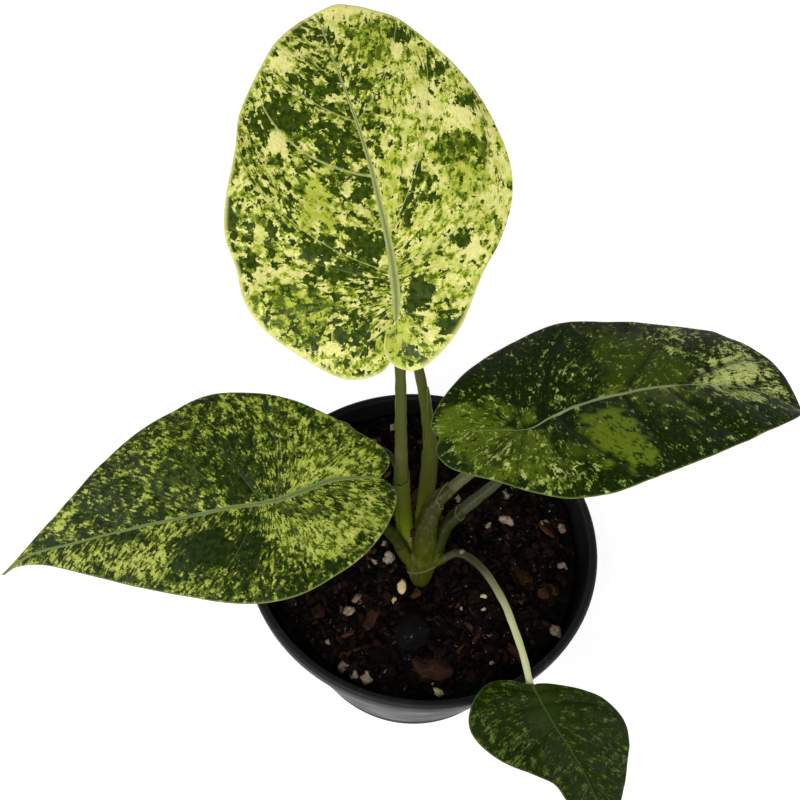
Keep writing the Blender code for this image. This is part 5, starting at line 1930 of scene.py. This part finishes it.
@dataclass(frozen=True)
class NurseryPot:
    """The round tapered nursery pot: rolled lip, thin wall, foot ring and drain holes."""

    height: float = 80.0
    rim_radius: float = 55.0
    base_radius: float = 39.0
    oval: float = 0.025
    oval_axis: float = 169.0
    lip_height: float = 6.0
    lip_width: float = 2.8
    lip_reach: float = 1.7
    wall: float = 1.2
    floor: float = 1.6
    sides: int = 192
    sharp_from: float = 38.0
    drain_holes: int = 6
    drain_radius: float = 3.5
    drain_circle: float = 30.0
    drain_sides: int = 32
    drain_depth: float = 6.0

    def wall_radius(self, height: float) -> float:
        """Outer radius of the wall at a height."""
        top = self.height - self.lip_height
        return self.base_radius + (self.rim_radius - self.lip_reach - self.base_radius) * min(height / top, 1.0)

    def profile(self) -> list[Point]:
        """The pot's section, from the middle of the underside, over the rim, to the middle of the floor.

        Returns:
            Radius and height of each point.
        """
        foot, rim, top = self.base_radius, self.rim_radius, self.height
        under, inner = top - self.lip_height, rim - self.lip_width
        points = [(0.0, 0.7), (foot - 4.0, 0.7), (foot - 3.4, 0.0), (foot - 1.0, 0.0), (foot - 0.3, 0.3), (foot, 1.0)]
        for height in (4.0, 8.0, 8.4, 14.0, 24.0, 36.0, 48.0, 60.0, 68.0, 68.5, 72.5):
            step = -0.25 if height in (8.4, 14.0) else 0.0
            points.append((self.wall_radius(height) + step, height))
        points += [
            (self.wall_radius(under) + 0.1, under - 0.2), (rim - 0.9, under), (rim - 0.25, under + 0.5),
            (rim - 0.1, under + 2.2), (rim, top - 1.2), (rim - 0.15, top - 0.6), (rim - 0.5, top - 0.2),
            (rim - 0.9, top), (inner + 0.8, top), (inner + 0.35, top - 0.25), (inner + 0.05, top - 0.8),
            (inner - 0.2, under + 1.0), (self.wall_radius(under) - self.wall, under - 1.0),
        ]
        points += [(self.wall_radius(height) - self.wall, height) for height in (60.0, 40.0, 20.0, 4.0)]
        return [*points, (self.wall_radius(self.floor) - self.wall - 0.6, self.floor), (0.0, self.floor)]

    def body(self) -> Mesh:
        """The pot before its holes are cut, its section turned round and squeezed a little oval.

        Returns:
            Its mesh.
        """
        first, *section, last = self.profile()
        angle = 2 * math.pi * np.arange(self.sides) / self.sides
        squeeze = np.cos(2 * (angle - math.radians(self.oval_axis)))
        rings = [
            circle(radius * (1 + self.oval * height / self.height * squeeze), height, self.sides)
            for radius, height in section
        ]
        poles = [np.array([[0.0, 0.0, height]]) for _, height in (first, last)]
        faces = [(face[0], *face[:0:-1]) for face in turned_faces(len(rings), self.sides)]
        return mesh_of("pot", np.concatenate([poles[0], *rings, poles[1]]), faces)

    def build(self, effects: Effects) -> bpy.types.Object:
        """The pot, standing for its node.

        Args:
            effects: The shared groups.

        Returns:
            The piece.
        """
        carrier, cutter = placed("pot body", self.body()), self.drain_cutter()
        cut = carrier.modifiers.new("drain", "BOOLEAN")
        cut.operation, cut.object, cut.solver = "DIFFERENCE", cutter, "EXACT"
        mesh = solved(carrier, "pot")
        bpy.data.objects.remove(cutter, do_unlink=True)
        face_out(mesh)
        mesh.shade_smooth()
        mesh.set_sharp_from_angle(angle=math.radians(self.sharp_from))
        piece = new_piece("pot_shell", mesh, PotPlastic().build(effects), Slot.POT)
        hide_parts("pot")
        return piece

    def drain_cutter(self) -> bpy.types.Object:
        """The rods that cut the drain holes.

        Returns:
            One object of them all.
        """
        shape = bmesh.new()
        radius = self.drain_radius * MM
        sizes = {"radius1": radius, "radius2": radius, "depth": self.drain_depth * MM, "segments": self.drain_sides}
        for x, y, _ in self.hole_places():
            turn = Matrix.Translation(Vector((x, y, self.floor / 2)) * MM)
            bmesh.ops.create_cone(shape, cap_ends=True, matrix=turn, **sizes)
        mesh = bpy.data.meshes.new("drain cutter")
        shape.to_mesh(mesh)
        shape.free()
        return placed("drain cutter", mesh)

    def hole_places(self) -> Array:
        """Where the drain holes are: every other point of a ring of twice as many."""
        return circle(self.drain_circle, 0.0, 2 * self.drain_holes)[1::2]


# Studio


@dataclass(frozen=True)
class Studio:
    """The pale floor, the soft lights and the camera."""

    floor_radius: float = 3.0
    floor_height: float = -0.2
    floor_sides: int = 96
    floor_tone: float = 0.52
    near_glow: float = 0.68
    far_glow: float = 0.93
    camera_place: Place = (-0.0095, -0.139, 0.408)
    look_down: float = 60.0
    camera_roll: float = 3.5
    lens: float = 50.0
    sensor: float = 36.0
    horizon_light: float = 1.0
    ceiling_light: float = 0.10
    lamps: Sequence[tuple[str, Place, float, float]] = (
        ("front soft box", (-0.35, -1.15, 1.25), 1.0, 22.0),
        ("left soft box", (-1.25, -0.05, 1.0), 0.8, 9.0),
        ("right soft box", (1.25, -0.35, 0.95), 0.8, 7.0),
    )

    def build_camera(self) -> None:
        """The camera where the photograph was taken."""
        data = bpy.data.cameras.new("photo camera")
        data.lens, data.sensor_width, data.clip_start = self.lens, self.sensor, 0.01
        down, roll = math.radians(self.look_down), math.radians(self.camera_roll)
        forward = Vector((0, math.cos(down), -math.sin(down)))
        up, right = Vector((0, math.sin(down), math.cos(down))), Vector((1, 0, 0))
        right, up = right * math.cos(roll) + up * math.sin(roll), up * math.cos(roll) - right * math.sin(roll)
        matrix = Matrix((right, up, -forward)).transposed().to_4x4()
        matrix.translation = self.camera_place
        camera = placed("photo camera", data)
        camera.matrix_world = matrix
        bpy.context.scene.camera = camera

    def build_floor(self) -> None:
        """A pale round floor that glows more towards its rim, so that it meets the white horizon."""
        reach, height, sides = self.floor_radius / MM, self.floor_height, self.floor_sides
        rings = (circle(share * reach, height, sides) for share in (0.1, 1.0))
        points = np.concatenate([[[0.0, 0.0, height]], *rings])
        mesh = mesh_of("studio floor", points, turned_faces(2, sides, closed=False))
        constants = {"Roughness": 0.85, "Specular_IOR_Level": 0.1, "Emission_Strength": 1.0}
        made, sheet, shader = new_finish("pale floor paper", **constants)
        spot = sheet.spot()
        grain = sheet.step(sheet.noise(spot, 1.5, 3.0), 0.3, 0.7)
        tone = sheet.blend(grain, (self.floor_tone,) * 3, (self.floor_tone + 0.03,) * 3)
        away = sheet.node("ShaderNodeVectorMath", {0: spot}, operation="LENGTH").outputs[1]
        glow = sheet.blend(sheet.step(away, 0.3, 2.2), (self.near_glow,) * 3, (self.far_glow,) * 3)
        sheet.feed(shader, Base_Color=tone, Emission_Color=glow)
        mesh.materials.append(made)
        placed("studio_floor", mesh)

    def build_lights(self) -> None:
        """Soft boxes, with air that is white at the horizon and dim overhead."""
        world = bpy.data.worlds.new("studio air")
        world.use_nodes = True
        sheet = Sheet(world.node_tree)
        way = sheet.node("ShaderNodeTexCoord").outputs["Generated"]
        rise = sheet.node("ShaderNodeSeparateXYZ", {0: way}).outputs[2]
        lit = sheet.blend(sheet.step(rise, 0.12, 0.5), (self.horizon_light,) * 3, (self.ceiling_light,) * 3)
        sheet.feed(world.node_tree.nodes["Background"], Color=lit)
        bpy.context.scene.world = world
        for name, place, size, power in self.lamps:
            data = bpy.data.lights.new(name, "AREA")
            data.shape, data.size, data.energy = "SQUARE", size, power
            lamp = placed(name, data)
            lamp.location = place
            lamp.rotation_euler = (Vector((0, 0, 0.1)) - Vector(place)).to_track_quat("-Z", "Y").to_euler()

    def build(self) -> None:
        """The whole studio, with a plain colour view."""
        self.build_camera()
        self.build_floor()
        self.build_lights()
        bpy.context.scene.view_settings.view_transform = "Standard"


def main() -> None:
    """Builds the plant and its studio."""
    logging.basicConfig(level=logging.INFO, format="%(message)s")
    effects = Effects()
    Studio().build()
    NurseryPot().build(effects)
    PottingMix().build(effects)
    skins = {look: look.value.build(look.name.lower() + " stalk skin", effects) for look in Look}
    rods = {look: rod_tree(skin) for look, skin in skins.items()}
    Crown().build(rods[Look.MIDDLE], skins[Look.MIDDLE])
    for stalk in STALKS:
        stalk.build(rods[stalk.look], skins[stalk.look])
    for blade in BLADES:
        blade.build(effects)


if __name__ == "__main__":
    main()
